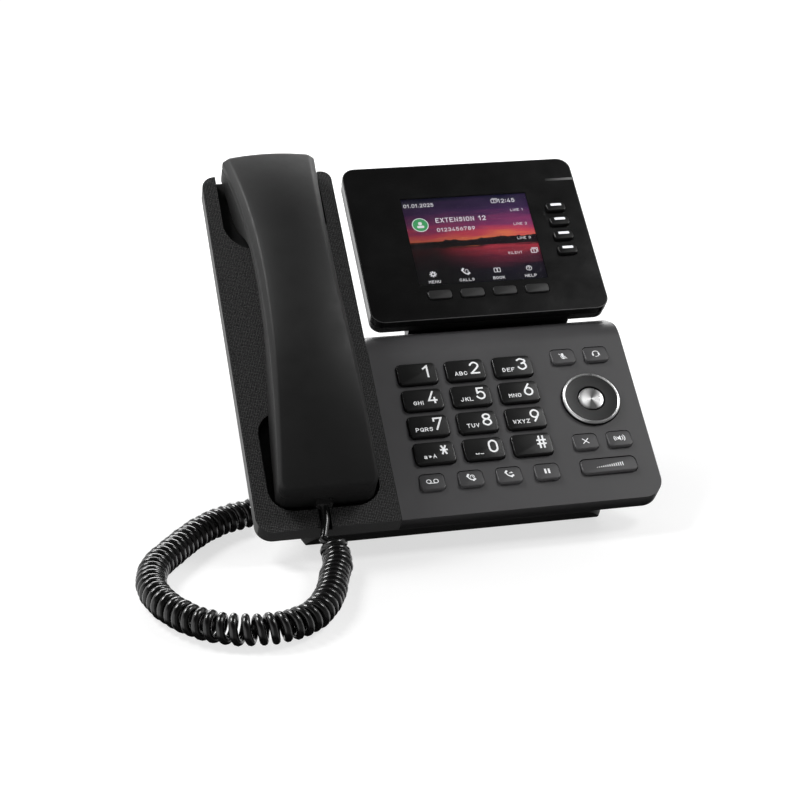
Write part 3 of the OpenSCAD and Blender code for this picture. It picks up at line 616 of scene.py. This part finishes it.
# Letters on a grid of 8 by 9: l for straight lines and s for a smooth curve through the points
GLYPHS = {
    "0": "s03 06 18 49 78 86 83 71 40 11 03", "1": "l17 59 50", "2": "s07 18 49 78 86 64 00;l00 80",
    "3": "s08 39 78 87 76 45;s45 75 83 82 71 40 11 02", "4": "l59 02 82;l64 60",
    "5": "l79 19 15;s15 46 75 83 71 40 11 02", "6": "s59 26 03 11 40 71 83 75 46 15 03",
    "7": "l07 09 89 20", "8": "s45 16 18 49 78 76 45;s45 14 02 11 40 71 82 74 45",
    "9": "s30 63 86 78 49 18 06 14 43 74 86", "*": "l15 75;l28 62;l22 68",
    "#": "l20 29;l60 69;l03 83;l06 86", "A": "l00 49 80;l13 73",
    "B": "l45 05 00 60 82 84 55 45;l05 09 59 78 76 55", "C": "s87 49 17 05 04 12 40 82",
    "D": "l00 09 49 76 73 40 00", "E": "l89 09 00 80;l05 65", "F": "l89 09 00;l05 65",
    "G": "s87 49 17 05 04 12 40 82;l82 84 54", "H": "l00 09;l80 89;l05 85", "I": "l40 49",
    "J": "l69 62 40 20 02", "K": "l00 09;l89 04;l35 80", "L": "l09 00 80", "M": "l00 09 44 89 80",
    "N": "l00 09 80 89", "O": "s03 06 18 49 78 86 83 71 40 11 03", "P": "l00 09 59 87 86 54 04",
    "Q": "s03 06 18 49 78 86 83 71 40 11 03;l53 80", "R": "l00 09 59 87 86 54 04;l44 80",
    "S": "s87 49 18 16 45 74 72 40 02", "T": "l09 89;l49 40", "U": "s09 05 03 11 40 71 83 85 89",
    "V": "l09 40 89", "W": "l09 20 47 60 89", "X": "l00 89;l09 80", "Y": "l09 44 89;l44 40",
    "Z": "l09 89 00 80", "a": "l16 56 75 70 20 02 13 73", ">": "l16 44 12;l46 74 42",
    "_": "l00 80", "~": "l02 00 80 82", ".": "l40 41", ":": "l41 42;l46 47", " ": "",
}
GRID_X, GRID_Y = 8, 9
NARROW = {"I": 0.3, "1": 0.75, ".": 0.3, ":": 0.3, " ": 0.6}


def write(text, x, y, height, width, stroke, gap, surface):
    """Solids of a line of text whose middle is at x and whose feet stand on y."""
    steps = [width * NARROW.get(c, 1) + gap for c in text]
    x -= (sum(steps) - gap) / 2
    out = []
    for c, step in zip(text, steps):
        middle = x + (step - gap) / 2
        for mark in filter(None, GLYPHS[c].split(";")):
            points = [(middle + (int(p[0]) / GRID_X - 0.5) * (width - stroke),
                       y + stroke / 2 + int(p[1]) / GRID_Y * (height - stroke), 0)
                      for p in mark[1:].split()]
            if mark[0] == "s":
                points = catmull(points, 4)
            out.append(strip([(p[0], p[1]) for p in points], stroke, surface, stroke / 2))
        x += step
    return out


# ---------- the handset cord ----------

COIL = [(-65, -8.8, 12), (-65, -13.3, 8.8), (-65.9, -20.8, 7.3), (-69.4, -30.8, 7.1),
        (-75, -49, 7.1), (-84.7, -65.2, 7.1), (-96.5, -73, 7.1), (-108.5, -74.1, 7.1),
        (-118.1, -72.1, 7.1), (-128.2, -66.7, 7.1), (-137.6, -57.1, 7.1), (-146, -41.7, 7.1),
        (-149.6, -23.5, 7.1), (-146.5, -5.1, 7.1), (-138.1, 9.2, 7.1), (-128, 23.2, 7.1),
        (-118.6, 33.6, 7.1), (-107.3, 42, 7.1), (-92.7, 47.7, 7.1)]
HANDSET_LEAD = [(-66.3, 7.3, 23.9), (-66.4, 4.3, 21.5), (-66.9, 1.2, 19.2), (-67.9, -1.8, 17),
                (-68.8, -4.6, 15), (-69.1, -6.7, 13.5)]
BASE_LEAD = [(-88.5, 49.3, 12.8), (-84.5, 52.2, 14.6), (-80, 55.6, 16.8), (-76, 57, 17.4)]
# Distance between turns by share of the coil's length: open at the front, tight at the bends
TURN_GAPS = [(0, 4.6), (0.12, 4.3), (0.28, 4.4), (0.36, 5.2), (0.46, 5.3), (0.55, 4.6),
             (0.66, 4.1), (0.8, 4.1), (0.92, 4.7), (1, 5.0)]
CORD_R, CORD_SIDES = 1.9, 10
TURN_R, TURN_POINTS = 5.08, 22
AXIS_STEP, LEAD_STEP = 0.25, 0.9
EASE_ANGLE, EASE_SHARE = 2.5, 0.14
FOLLOWING_TURNS, BLEND_POINTS = 17, 300


def turn_gap(s):
    for (a, x), (b, y) in zip(TURN_GAPS, TURN_GAPS[1:]):
        if s <= b:
            return x + (y - x) * (s - a) / (b - a)
    return TURN_GAPS[-1][1]


def cord_line():
    """Centreline of the wire: the handset lead, the turns, and the lead to the socket."""
    axis = even(catmull(COIL, 24), AXIS_STEP)
    angle = math.pi
    turns = []
    for i, p in enumerate(axis):
        t = (axis[min(i + 1, len(axis) - 1)] - axis[max(i - 1, 0)]).normalized()
        side = t.cross(Vector((0, 0, 1))).normalized()
        turns.append((p, side, side.cross(t), angle))
        angle += 2 * math.pi * AXIS_STEP / turn_gap(i / len(axis))
    coil = []
    first, last = turns[0][3], turns[-1][3]
    want = first
    for (p0, s0, u0, a0), (p1, s1, u1, a1) in zip(turns, turns[1:]):
        while want < a1:
            k = (want - a0) / (a1 - a0)
            ease = min(1.0, (want - first) / EASE_ANGLE, (last - want) / EASE_ANGLE)
            r = TURN_R * (1 - EASE_SHARE + EASE_SHARE * max(0.0, ease))
            # Slow waves keep the turns from being all alike
            r += 0.12 * math.sin(want * 0.37) + 0.08 * math.sin(want * 0.91 + 1)
            coil.append(p0.lerp(p1, k) + r * (math.cos(want) * s0.lerp(s1, k)
                                              - math.sin(want) * u0.lerp(u1, k)))
            want += 2 * math.pi / TURN_POINTS
    lead = even(catmull(HANDSET_LEAD + [coil[0]], 8), LEAD_STEP)
    back = even(catmull([coil[-1]] + BASE_LEAD, 8), LEAD_STEP)
    return [DESK @ p for p in lead[:-1] + coil + back[1:]], len(lead), len(coil)


wire, lead_count, coil_count = cord_line()
cord = add("handset_cord", *tube(wire, CORD_R * 0.001, CORD_SIDES), None, "cord_black",
           "cord_black", ("cord_coil", "cord_lead_handset", "cord_lead_base"), Matrix(), sharp=60)
wire_length = sum((b - a).length for a, b in zip(wire, wire[1:]))
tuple(wire[lead_count + BLEND_POINTS])
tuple(wire[0])
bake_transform(cord)
# The cord's ends lie close together, so these weights fall off along the wire's length, not along a
# straight line
bend_count = lead_count + TURN_POINTS * FOLLOWING_TURNS
weights = []
for i in range(len(wire)):
    t = max(0.0, min(1.0, 1 - i / bend_count))
    weights += [t * t * (3 - 2 * t)] * CORD_SIDES
tuple(wire[0])
[tuple(p) for p in wire]
print("CORD", round(wire_length, 3), "turns", coil_count / TURN_POINTS)


# ---------- keys ----------

LIP_W = 1.0
EDGE_STEPS, CORNER_SHARE = 4, 0.6
DIGIT_SIZE, DIGIT_RISE, DIGIT_R, DIGIT_PITCH = (19.6, 12.2), (1.9, 1.1), 2.4, (24.2, 14.95)
SMALL_SIZE, SMALL_RISE, SMALL_R, SMALL_EDGE = (12.3, 9.3), (1.8, 0.15), 2.2, 0.75
KEY_1_AT = (-9.2, 78.3)
# Place from the key's middle, height, width, stroke and gap
DIGIT_TEXT, LETTER_TEXT = (4.7, -2.8, 7.2, 4.7, 0.88, 0), (-2.6, -3.2, 2.3, 1.75, 0.36, 0.5)
DIGITS = [("key_1", "1", ""), ("key_2", "2", "ABC"), ("key_3", "3", "DEF"), ("key_4", "4", "GHI"),
          ("key_5", "5", "JKL"), ("key_6", "6", "MNO"), ("key_7", "7", "PQRS"),
          ("key_8", "8", "TUV"), ("key_9", "9", "WXYZ"), ("key_star", "*", "a>A"),
          ("key_0", "0", "~_"), ("key_hash", "#", "")]
SMALL_KEYS = [("voicemail_key", -13.2, 18.2), ("call_list_key", 5.6, 18.2),
              ("redial_key", 24.4, 18.2), ("hold_key", 43.2, 18.2), ("mute_key", 66, 82),
              ("headset_key", 83.2, 82), ("cancel_key", 66, 32.7), ("speaker_key", 83.2, 32.7)]
ICONS = {
    "voicemail_key": [arc(-1.75, 0.1, 1.1, 0, 360), arc(1.75, 0.1, 1.1, 0, 360),
                      line([(-1.75, -1.0), (1.75, -1.0)])],
    "call_list_key": receiver(-0.4, -0.2) + [arc(0.75, 0.75, 0.95, -60, 200, 0.34),
                                             line([(0.75, 1.25), (0.75, 0.7), (1.1, 0.5)], 0.26)],
    "redial_key": receiver(-0.4, -0.1) + [line([(0.2, 0.9), (1.7, 0.9)], 0.4),
                                          line([(1.2, 1.4), (1.75, 0.9)], 0.34)],
    "hold_key": [box(-1.35, -0.4, 1.4), box(0.4, 1.35, 1.4)],
    "mute_key": [line([(0, 0.1), (0, 1.2)], 1.15), arc(0, 0.1, 1.15, 190, 350, 0.32),
                 line([(0, -1.05), (0, -1.6)], 0.34), line([(-0.75, -1.65), (0.75, -1.65)], 0.34),
                 line([(-1.7, 1.5), (1.7, -1.5)], 0.34)],
    "headset_key": [arc(0, 0.15, 1.6, -20, 200, 0.4), line([(-1.55, -0.1), (-1.55, -0.9)], 0.8),
                    line([(1.55, -0.1), (1.55, -0.9)], 0.8), arc(0, -0.4, 1.5, 250, 320, 0.32)],
    "cancel_key": [line([(-1.35, -1.35), (1.35, 1.35)], 0.46),
                   line([(-1.35, 1.35), (1.35, -1.35)], 0.46)],
    "speaker_key": [shape([(-1.0, -0.7), (-0.2, -0.7), (0.6, -1.7), (0.6, 1.7), (-0.2, 0.7),
                           (-1.0, 0.7)]),
                    arc(0.1, 0, 1.6, -40, 40, 0.4), arc(0.1, 0, 2.6, -40, 40, 0.4),
                    arc(-0.4, 0, 1.4, 145, 215, 0.4), arc(-0.4, 0, 2.3, 148, 212, 0.4)],
}


def key_cap(node, at, size, corner, rise, look, edge=0.55, lip=(-3.2, -2.3)):
    """Key cap with a retaining lip, straight sides and a softened edge, and its top's surface.

    The top slopes from rise[0] at its low edge to rise[1] at its high edge.
    """
    x0, x1 = at[0] - size[0] / 2, at[0] + size[0] / 2
    y0, y1 = at[1] - size[1] / 2, at[1] + size[1] / 2

    def top(x, y):
        return rise[0] + (rise[1] - rise[0]) * (y - at[1] + size[1] / 2) / size[1]

    def ring(grow, r):
        return rounded(x0 - grow, y0 - grow, x1 + grow, y1 + grow, r)

    rings = [level(ring(LIP_W, corner), lip[0]), level(ring(LIP_W, corner), lip[1]),
             level(ring(0, corner), lip[1])]
    for k in range(EDGE_STEPS + 1):
        a = math.pi / 2 * k / EDGE_STEPS
        inset, drop = edge * (1 - math.cos(a)), edge * (1 - math.sin(a))
        upper = ring(-inset, corner - inset * CORNER_SHARE)
        rings.append([(x, y, top(x, y) - drop) for x, y in upper])
    slot = "key_black" if look == "soft_black" else look
    add(node + "_cap", *loft(rings), node, look, slot, (node,))
    return top


def print_on(name, parts, body):
    add(name, *join(parts), body, "legend", flat=True)


for i, (node, digit, letters) in enumerate(DIGITS):
    x, y = KEY_1_AT[0] + i % 3 * DIGIT_PITCH[0], KEY_1_AT[1] - i // 3 * DIGIT_PITCH[1]
    top = key_cap(node, (x, y), DIGIT_SIZE, DIGIT_R, DIGIT_RISE, "key_black")
    parts = []
    for text, (dx, dy, *sizes) in ((digit, DIGIT_TEXT), (letters, LETTER_TEXT)):
        parts += write(text, x + dx, y + dy, *sizes, top)
    print_on(node + "_legend", parts, node)

for node, x, y in SMALL_KEYS:
    top = key_cap(node, (x, y), SMALL_SIZE, SMALL_R, SMALL_RISE, "key_grey", SMALL_EDGE)
    print_on(node + "_icon", [draw(x, y + 0.1, top) for draw in ICONS[node]], node)

BARS, BAR_X, BAR_Y, BAR_GAP, BAR_H = 13, 68.1, 17.5, 1.1, (0.3, 2.1)
top = key_cap("volume_rocker", (74.4, 18.7), (28, 8.6), 2.6, SMALL_RISE, "key_grey", SMALL_EDGE,
              (-3.5, -2.7))
bars = []
for i in range(BARS):
    x, height = BAR_X + i * BAR_GAP, BAR_H[0] + BAR_H[1] * i / (BARS - 1)
    bars.append(strip([(x, BAR_Y), (x, BAR_Y + height)], 0.42, top))
print_on("volume_rocker_bars", bars, "volume_rocker")

# Navigation ring: a dished black face in a polished rim, round the turned metal button
RING_IN, RING_OUT, RING_BACK, RING_SIDES = 6.7, 14.5, -3.2, 128
DISH_OUT, DISH_W, DISH_N, DISH_DEPTH = 13.3, 6.3, 1.75, 0.3
DISC_R, DISC_EDGE, DISC_SHOULDER = 6.3, 0.45, 0.75
ring = [(RING_IN, RING_BACK), (RING_OUT, RING_BACK), (RING_OUT, 0.95), (14.35, 1.0),
        (DISH_OUT, 1.0)]
ring += [(DISH_OUT - DISH_W * t, DISH_N - DISH_DEPTH * math.sin(math.pi / 2 * t))
         for t in (0, 0.15, 0.35, 0.6, 0.8, 1)]
add("navigation_ring_face", *lathe(ring + [(RING_IN, 0.5)], RING_AT, RING_SIDES, looped=True),
    "navigation_ring", "ring_black", "ring_black", ("navigation_ring",))
rim = turn([(13.0, 0.8), (13.0, 1.6), (13.4, 2.05), (13.9, 2.05), (14.5, 1.4), (14.5, 0.8)], 0.3)
add("navigation_ring_rim", *lathe(rim, RING_AT, RING_SIDES, looped=True), "navigation_ring",
    "chrome", "steel", ("navigation_rim",))
disc = [(0.02, RING_BACK), (DISC_R, RING_BACK), (DISC_R, DISC_SHOULDER)]
disc += [(DISC_R - DISC_EDGE * (1 - math.cos(a)), DISC_SHOULDER + DISC_EDGE * math.sin(a))
         for a in (0.4, 0.8, 1.2, 1.57)]
disc += [(4.4, 1.17), (2.6, 1.14), (1.0, 1.12), (0.02, 1.11)]
add("ok_button_face", *lathe(disc, RING_AT, 96), "ok_button", "ok_silver", "ok_silver",
    ("ok_button",))


# ---------- display: keys, lamps, mask and edge ----------

SOFT_SIZE, SOFT_RISE, SOFT_AT, SOFT_PITCH = (12, 5.4), (0.9, 0.5), (11.6, 124.6), 17
LINE_SIZE, LINE_RISE, LINE_AT, LINE_PITCH = (10, 5.6), (1.8, 1.0), (84.0, 174.9), 9.27
LINE_LAMP, DISPLAY_KEY_R = (-2.6, 0.35, 3.2, 1.95), 1.6
MESSAGE_LAMP = [(82.7, 192.9), (98.34, 192.9), (98.34, 194.4), (82.7, 194.4)]
MASK_W, MASK_H = 3.8, 0.03
EDGE_R, EDGE_SIDES, EDGE_SINK = 0.28, 6, 0.1

for i in range(4):
    key_cap("soft_key_%d" % (i + 1), (SOFT_AT[0] + i * SOFT_PITCH, SOFT_AT[1]), SOFT_SIZE,
            DISPLAY_KEY_R, SOFT_RISE, "soft_black", 0.3)
    node, x, y = "line_key_%d" % (i + 1), LINE_AT[0], LINE_AT[1] - i * LINE_PITCH
    top = key_cap(node, (x, y), LINE_SIZE, DISPLAY_KEY_R, LINE_RISE, "key_black", 0.4)
    x0, y0, x1, y1 = LINE_LAMP
    window = rounded(x + x0, y + y0, x + x1, y + y1, 0.45, 3)
    add(node + "_lamp", *patch(window, top, 0.06), node, "light", flat=True)
add("message_lamp", *loft([level(MESSAGE_LAMP, z) for z in (-1.6, 0.05)]), "display",
    "lamp_grey", flat=True)


def display_outline(g):
    return rounded(DISPLAY_X[0] + g, DISPLAY_Y[0] + g, DISPLAY_X[1] - g, DISPLAY_Y[1] - g,
                   DISPLAY_R - g, 8)


def mask_outline(g):
    return rounded(SCREEN_X[0] - g, SCREEN_Y[0] - g, SCREEN_X[1] + g, SCREEN_Y[1] + g, 0.5 + g / 3)


# A fine edge round the display's front, coloured lighter grey as a painted highlight along it, and
# a black mask over the joint of the window
edge = [level(display_outline(EDGE_R * (0.9 - math.cos(a))), EDGE_R * math.sin(a) - EDGE_SINK)
        for a in (2 * math.pi * k / EDGE_SIDES for k in range(EDGE_SIDES))]
add("display_edge", *loft(edge, looped=True), "display", "edge_grey")
mask = [level(mask_outline(g), z) for g, z in ((0, -MASK_H), (0, MASK_H), (MASK_W, MASK_H),
                                               (MASK_W, -MASK_H))]
add("display_mask", *loft(mask, looped=True), "display", "display_black", flat=True)


# ---------- what the screen shows ----------

# Text, the share of the screen's width and height at its foot, and its height, width and stroke
SCREEN_TEXT = [
    ("01.01.2025", 0.135, 0.905, 2.3, 1.45, 0.3), ("12:45", 0.835, 0.905, 2.5, 1.7, 0.34),
    ("EXTENSION 12", 0.44, 0.715, 2.9, 1.9, 0.42), ("0123456789", 0.385, 0.61, 2.3, 1.6, 0.3),
    ("LINE 1", 0.90, 0.80, 1.5, 1.1, 0.2), ("LINE 2", 0.90, 0.635, 1.5, 1.1, 0.2),
    ("LINE 3", 0.90, 0.47, 1.5, 1.1, 0.2), ("SILENT", 0.80, 0.305, 1.5, 1.1, 0.2),
    ("MENU", 0.125, 0.035, 1.7, 1.25, 0.24), ("CALLS", 0.375, 0.035, 1.7, 1.25, 0.24),
    ("BOOK", 0.625, 0.035, 1.7, 1.25, 0.24), ("HELP", 0.875, 0.035, 1.7, 1.25, 0.24)]
TEETH = [line([polar(0, 0, 1.1, 45 * k), polar(0, 0, 1.6, 45 * k)], 0.55) for k in range(8)]
SCREEN_ICONS = [
    (0.74, 0.925, [outline(-1.7, -0.9, 1.1, 1.3, 0.5),
                   line([(-0.9, 1.8), (1.7, 1.8), (1.7, -0.3)], 0.3),
                   line([(-0.2, -0.4), (-0.2, 0.7)], 0.32)]),
    (0.955, 0.33, [outline(-1.8, -1.3, 1.2, 1.0, 0.5, 0.4),
                   line([(-1.1, 1.7), (1.8, 1.7), (1.8, -0.7)], 0.34),
                   line([(-0.3, -0.7), (-0.3, 0.4)], 0.34)]),
    (0.125, 0.135, [arc(0, 0, 0.95, 0, 360, 0.6)] + TEETH),
    (0.375, 0.135, receiver(-0.2, -0.1) + [arc(0.9, 0.8, 0.8, -60, 200, 0.3)]),
    (0.625, 0.135, [outline(-1.6, -1.2, -0.1, 1.3, 0.4, 0.34),
                    outline(0.1, -1.2, 1.6, 1.3, 0.4, 0.34)]),
    (0.875, 0.135, [arc(0, 0, 1.4, 0, 360, 0.32), arc(0, 0.35, 0.5, -90, 180, 0.28),
                    line([(0, -0.7), (0, -0.6)], 0.32)])]
CONTACT_AT = (0.115, 0.70)


def lcd(x, y):
    return SCREEN_Z


def on_screen(u, v):
    return (SCREEN_X[0] + u * (SCREEN_X[1] - SCREEN_X[0]),
            SCREEN_Y[0] + v * (SCREEN_Y[1] - SCREEN_Y[0]))


def show(name, parts, look):
    add(name, *join(parts), "display", look, "screen", flat=True)


signs = []
for text, u, v, height, width, stroke in SCREEN_TEXT:
    signs += write(text, *on_screen(u, v), height, width, stroke, width * 0.32, lcd)
for u, v, draws in SCREEN_ICONS:
    signs += [draw(*on_screen(u, v), lcd) for draw in draws]
show("screen_signs", signs, "screen_white")
x, y = on_screen(*CONTACT_AT)
for name, r, up, look in (("screen_contact_ring", 4.35, 0.01, "screen_white"),
                          ("screen_contact_disc", 3.95, 0.02, "screen_green")):
    show(name, [patch(circle(x, y, r, steps=40)[:-1], lcd, up)], look)
person = [circle(x, y + 0.9, 1.05)[:-1], rounded(x - 1.9, y - 2.0, x + 1.9, y - 0.45, 0.75, 5)]
show("screen_contact_sign", [patch(part, lcd, 0.035) for part in person], "screen_white")


# ---------- handset shells ----------

HANDSET_X, HANDSET_Y, WELL_N = -64.5, (13.0, 209.0), -6.0
END_PLAN, END_BACK, END_SOLE = (4.8, 2.5), (1.6, 1.2), (2.5, 2.5)
CROWN, CHAMFER, PARTING = 2.4, (1.5, 3.0), 0.3
WAIST_Y, TOP_Y = 123, 90
END_STEPS = [0.0, 0.15, 0.5, 1.0, 1.7, 2.5, 3.5, 4.7, 6.0]
STATIONS = ([HANDSET_Y[0] + e for e in END_STEPS] + [22 + 3.2 * k for k in range(57)]
            + [HANDSET_Y[1] - e for e in END_STEPS[::-1]])


def half_w(y):
    """Half the handset's width, narrowest at the waist."""
    if y > WAIST_Y:
        return 18.6 + 5.4 * ((y - WAIST_Y) / 86) ** 1.9
    return 18.6 + 5.2 * ((WAIST_Y - y) / 110) ** 1.6


def back_n(y):
    """Height of the back over the keypad face."""
    if y > TOP_Y:
        return 34.5 - 18 * ((y - TOP_Y) / 110) ** 2.3
    return 34.5 - 19.5 * ((TOP_Y - y) / 75) ** 2


def dip(y, y0, y1):
    """A smooth step from 0 at y0 to 1 at y1."""
    return (1 - math.cos(math.pi * min(1, max(0, (y - y0) / (y1 - y0))))) / 2


def grip_n(y):
    """Height of the underside, which stands clear of the face between the two ends."""
    return WELL_N + 0.4 + 24 * dip(y, 44, 105) * (1 - dip(y, 140, 184))


def end_round(y, radii):
    """How far a surface with these edge radii has drawn in at y, near either end."""
    low = y < sum(HANDSET_Y) / 2
    r = radii[0] if low else radii[1]
    d = min(r, y - HANDSET_Y[0] if low else HANDSET_Y[1] - y)
    return r - math.sqrt(max(0.0, r * r - (r - d) ** 2))


def section(y):
    """Half width, and the heights of the back, of the parting line and of the underside."""
    w = half_w(y) - end_round(y, END_PLAN)
    h = back_n(y) - end_round(y, END_BACK)
    b = grip_n(y) + end_round(y, END_SOLE)
    p = max(back_n(y) - 7, grip_n(y) + 3)
    return w, h, min(p, h - 3.2), b


def crown(x, w, h):
    return h + CROWN * (1 - (x / (w - 1.6)) ** 2)


def outer_ring(y):
    w, h, p, _ = section(y)
    share = (y - HANDSET_Y[0]) / (HANDSET_Y[1] - HANDSET_Y[0])
    cut_back = CHAMFER[0] + (CHAMFER[1] - CHAMFER[0]) * share
    side = turn([(-w + PARTING, p), (-w + PARTING, p + 0.3), (-w, p + 0.55), (-w, h - 2.5),
                 (-w + cut_back, crown(w - cut_back, w, h)), (-w + 5, crown(w - 5, w, h))], 0.75)
    back = [Vector((x, crown(x, w, h))) for x in ((-w + 5) * (1 - k / 8) for k in range(1, 8))]
    half = side + back
    points = half + [Vector((0, crown(0, w, h)))] + [Vector((-q.x, q.y)) for q in reversed(half)]
    return [(HANDSET_X + q.x, y, q.y) for q in points]


def inner_ring(y):
    w, _, p, b = section(y)
    side = turn([(0.0, b), (-w + 2.4, b), (-w, b + 2.4), (-w, p - 0.6), (-w + PARTING, p - 0.35),
                 (-w + PARTING, p - 0.02)], 1.2)
    points = side + [Vector((-q.x, q.y)) for q in reversed(side[1:])]
    return [(HANDSET_X + q.x, y, q.y) for q in reversed(points)]


def handset_shell(name, ring, node):
    verts, faces = loft([ring(y) for y in STATIONS])
    return add(name, verts, [f[::-1] for f in faces], "handset", "handset_black",
               "handset_black", (node,), sharp=50)


handset_shell("handset_back", outer_ring, "handset_outer_shell")
handset_front = handset_shell("handset_front", inner_ring, "handset_inner_shell")


def cut(piece, verts, faces):
    """Takes a solid out of a piece's mesh for good."""
    tool = add("cutter", verts, faces, None, "handset_black", flat=True)
    mod = piece.modifiers.new("cut", "BOOLEAN")
    mod.object, mod.solver, mod.operation = tool, "EXACT", "DIFFERENCE"
    graph = bpy.context.evaluated_depsgraph_get()
    shaped = bpy.data.meshes.new_from_object(piece.evaluated_get(graph))
    piece.modifiers.clear()
    piece.data = shaped
    bpy.data.objects.remove(tool)


# Sound holes in the ear and mouth ends of the underside
EAR, MOUTH = (HANDSET_X, 193.5), (HANDSET_X, 31.0)
EAR_HOLE_R, MOUTH_HOLE_R, HOLE_ENDS = 0.8, 0.7, (-7, -4.2)
holes = [(*EAR, EAR_HOLE_R)]
for count, r in ((6, 3.0), (12, 6.0)):
    holes += [(*polar(*EAR, r, 360 * k / count), EAR_HOLE_R) for k in range(count)]
holes += [(MOUTH[0] + dx, MOUTH[1], MOUTH_HOLE_R) for dx in (-4, 0, 4)]
cut(handset_front, *join([lathe([(r, z) for z in HOLE_ENDS], (x, y), 16) for x, y, r in holes]))
handset_front.data.shade_smooth()
handset_front.data.set_sharp_from_angle(angle=math.radians(50))


# ---------- floor and light ----------

FLOOR = 6.0
floor = add("floor", [(-FLOOR, -FLOOR, 0), (FLOOR, -FLOOR, 0), (FLOOR, FLOOR, 0),
                      (-FLOOR, FLOOR, 0)], [(0, 1, 2, 3)], None, "legend", matrix=Matrix(),
            flat=True)
pale = material("floor_white")
pale.set(base_color=pale.mix(pale.noise(3), grey(0.38), grey(0.40)), roughness=0.9,
         emission_color=grey(1.0),
         emission_strength=pale.spread(pale.length(pale.coords), 0.66, 0.88, 0.12, 0.35))
floor.data.materials[0] = pale.owner
floor.visible_glossy = False

world = bpy.data.worlds.new("studio")
bpy.context.scene.world = world
sky = Nodes(world)
toward = sky.tree.nodes.new("ShaderNodeTexCoord").outputs["Generated"]
east, north, height = sky.split(toward)
# White behind and low down, dark overhead, in front and from the desk, with a soft pale panel
# low at the front left
overhead = sky.spread(height, 1.0, 0.08, 0.2, 0.75)
behind = sky.spread(north, 0.16, 1.0, -0.45, 0.15)
left_panel = sky.times(sky.spread(east, 1.0, 0.0, -0.62, -0.3),
                       sky.spread(height, 1.0, 0.0, 0.35, 0.7))
from_desk = sky.spread(height, 0.0, 1.0, -0.65, -0.4)
light_level = sky.math("MAXIMUM", sky.times(behind, overhead), left_panel)
background = sky.tree.nodes["Background"]
sky.put(sky.times(light_level, from_desk), background.inputs["Color"])
background.inputs["Strength"].default_value = 1.0

TARGET = Vector((0, 0, 0.05))
for name, place, size, power in (("key_light", (-0.8, 0.5, 1.2), (0.5, 0.5), 13),
                                 ("right_light", (1.0, -0.1, 1.3), (0.5, 0.5), 9),
                                 ("back_light", (0.2, 1.3, 0.6), (1.2, 0.5), 12)):
    data = bpy.data.lights.new(name, "AREA")
    data.shape = "RECTANGLE"
    data.size, data.size_y = size
    data.energy = power
    light = bpy.data.objects.new(name, data)
    light.location = place
    light.rotation_euler = (TARGET - Vector(place)).to_track_quat("-Z", "Y").to_euler()
    bpy.context.collection.objects.link(light)

bpy.context.scene.view_settings.view_transform = "Standard"


# ---------- CAD nodes: materials and softened edges ----------

EDGE = {"cradle_cover": 0.5, "display_bezel": 0.5, "display_rear_shell": 0.5,
        "stand_foot": 0.8, "lower_housing": 0.4, "rubber_feet": 0.3}
for row in frame["record"]["subparts"]:
    node = row["node"]
    cad = frame["nodes"][node]
    look = "shell_black" if node == "display_rear_shell" else row["material_slot"]
    cad.data.materials.clear()
    cad.data.materials.append(MATERIALS[look])
    if node in EDGE:
        weld = cad.modifiers.new("weld", "WELD")
        weld.merge_threshold = 0.00001
        bevel = cad.modifiers.new("edges", "BEVEL")
        bevel.width = EDGE[node] * 0.001
        bevel.segments = 3
        bevel.limit_method = "ANGLE"
        bevel.angle_limit = math.radians(40)
        bevel.face_strength_mode = "FSTR_ALL"
        even_out = cad.modifiers.new("even_out", "WEIGHTED_NORMAL")
        even_out.keep_sharp, even_out.use_face_influence = True, True
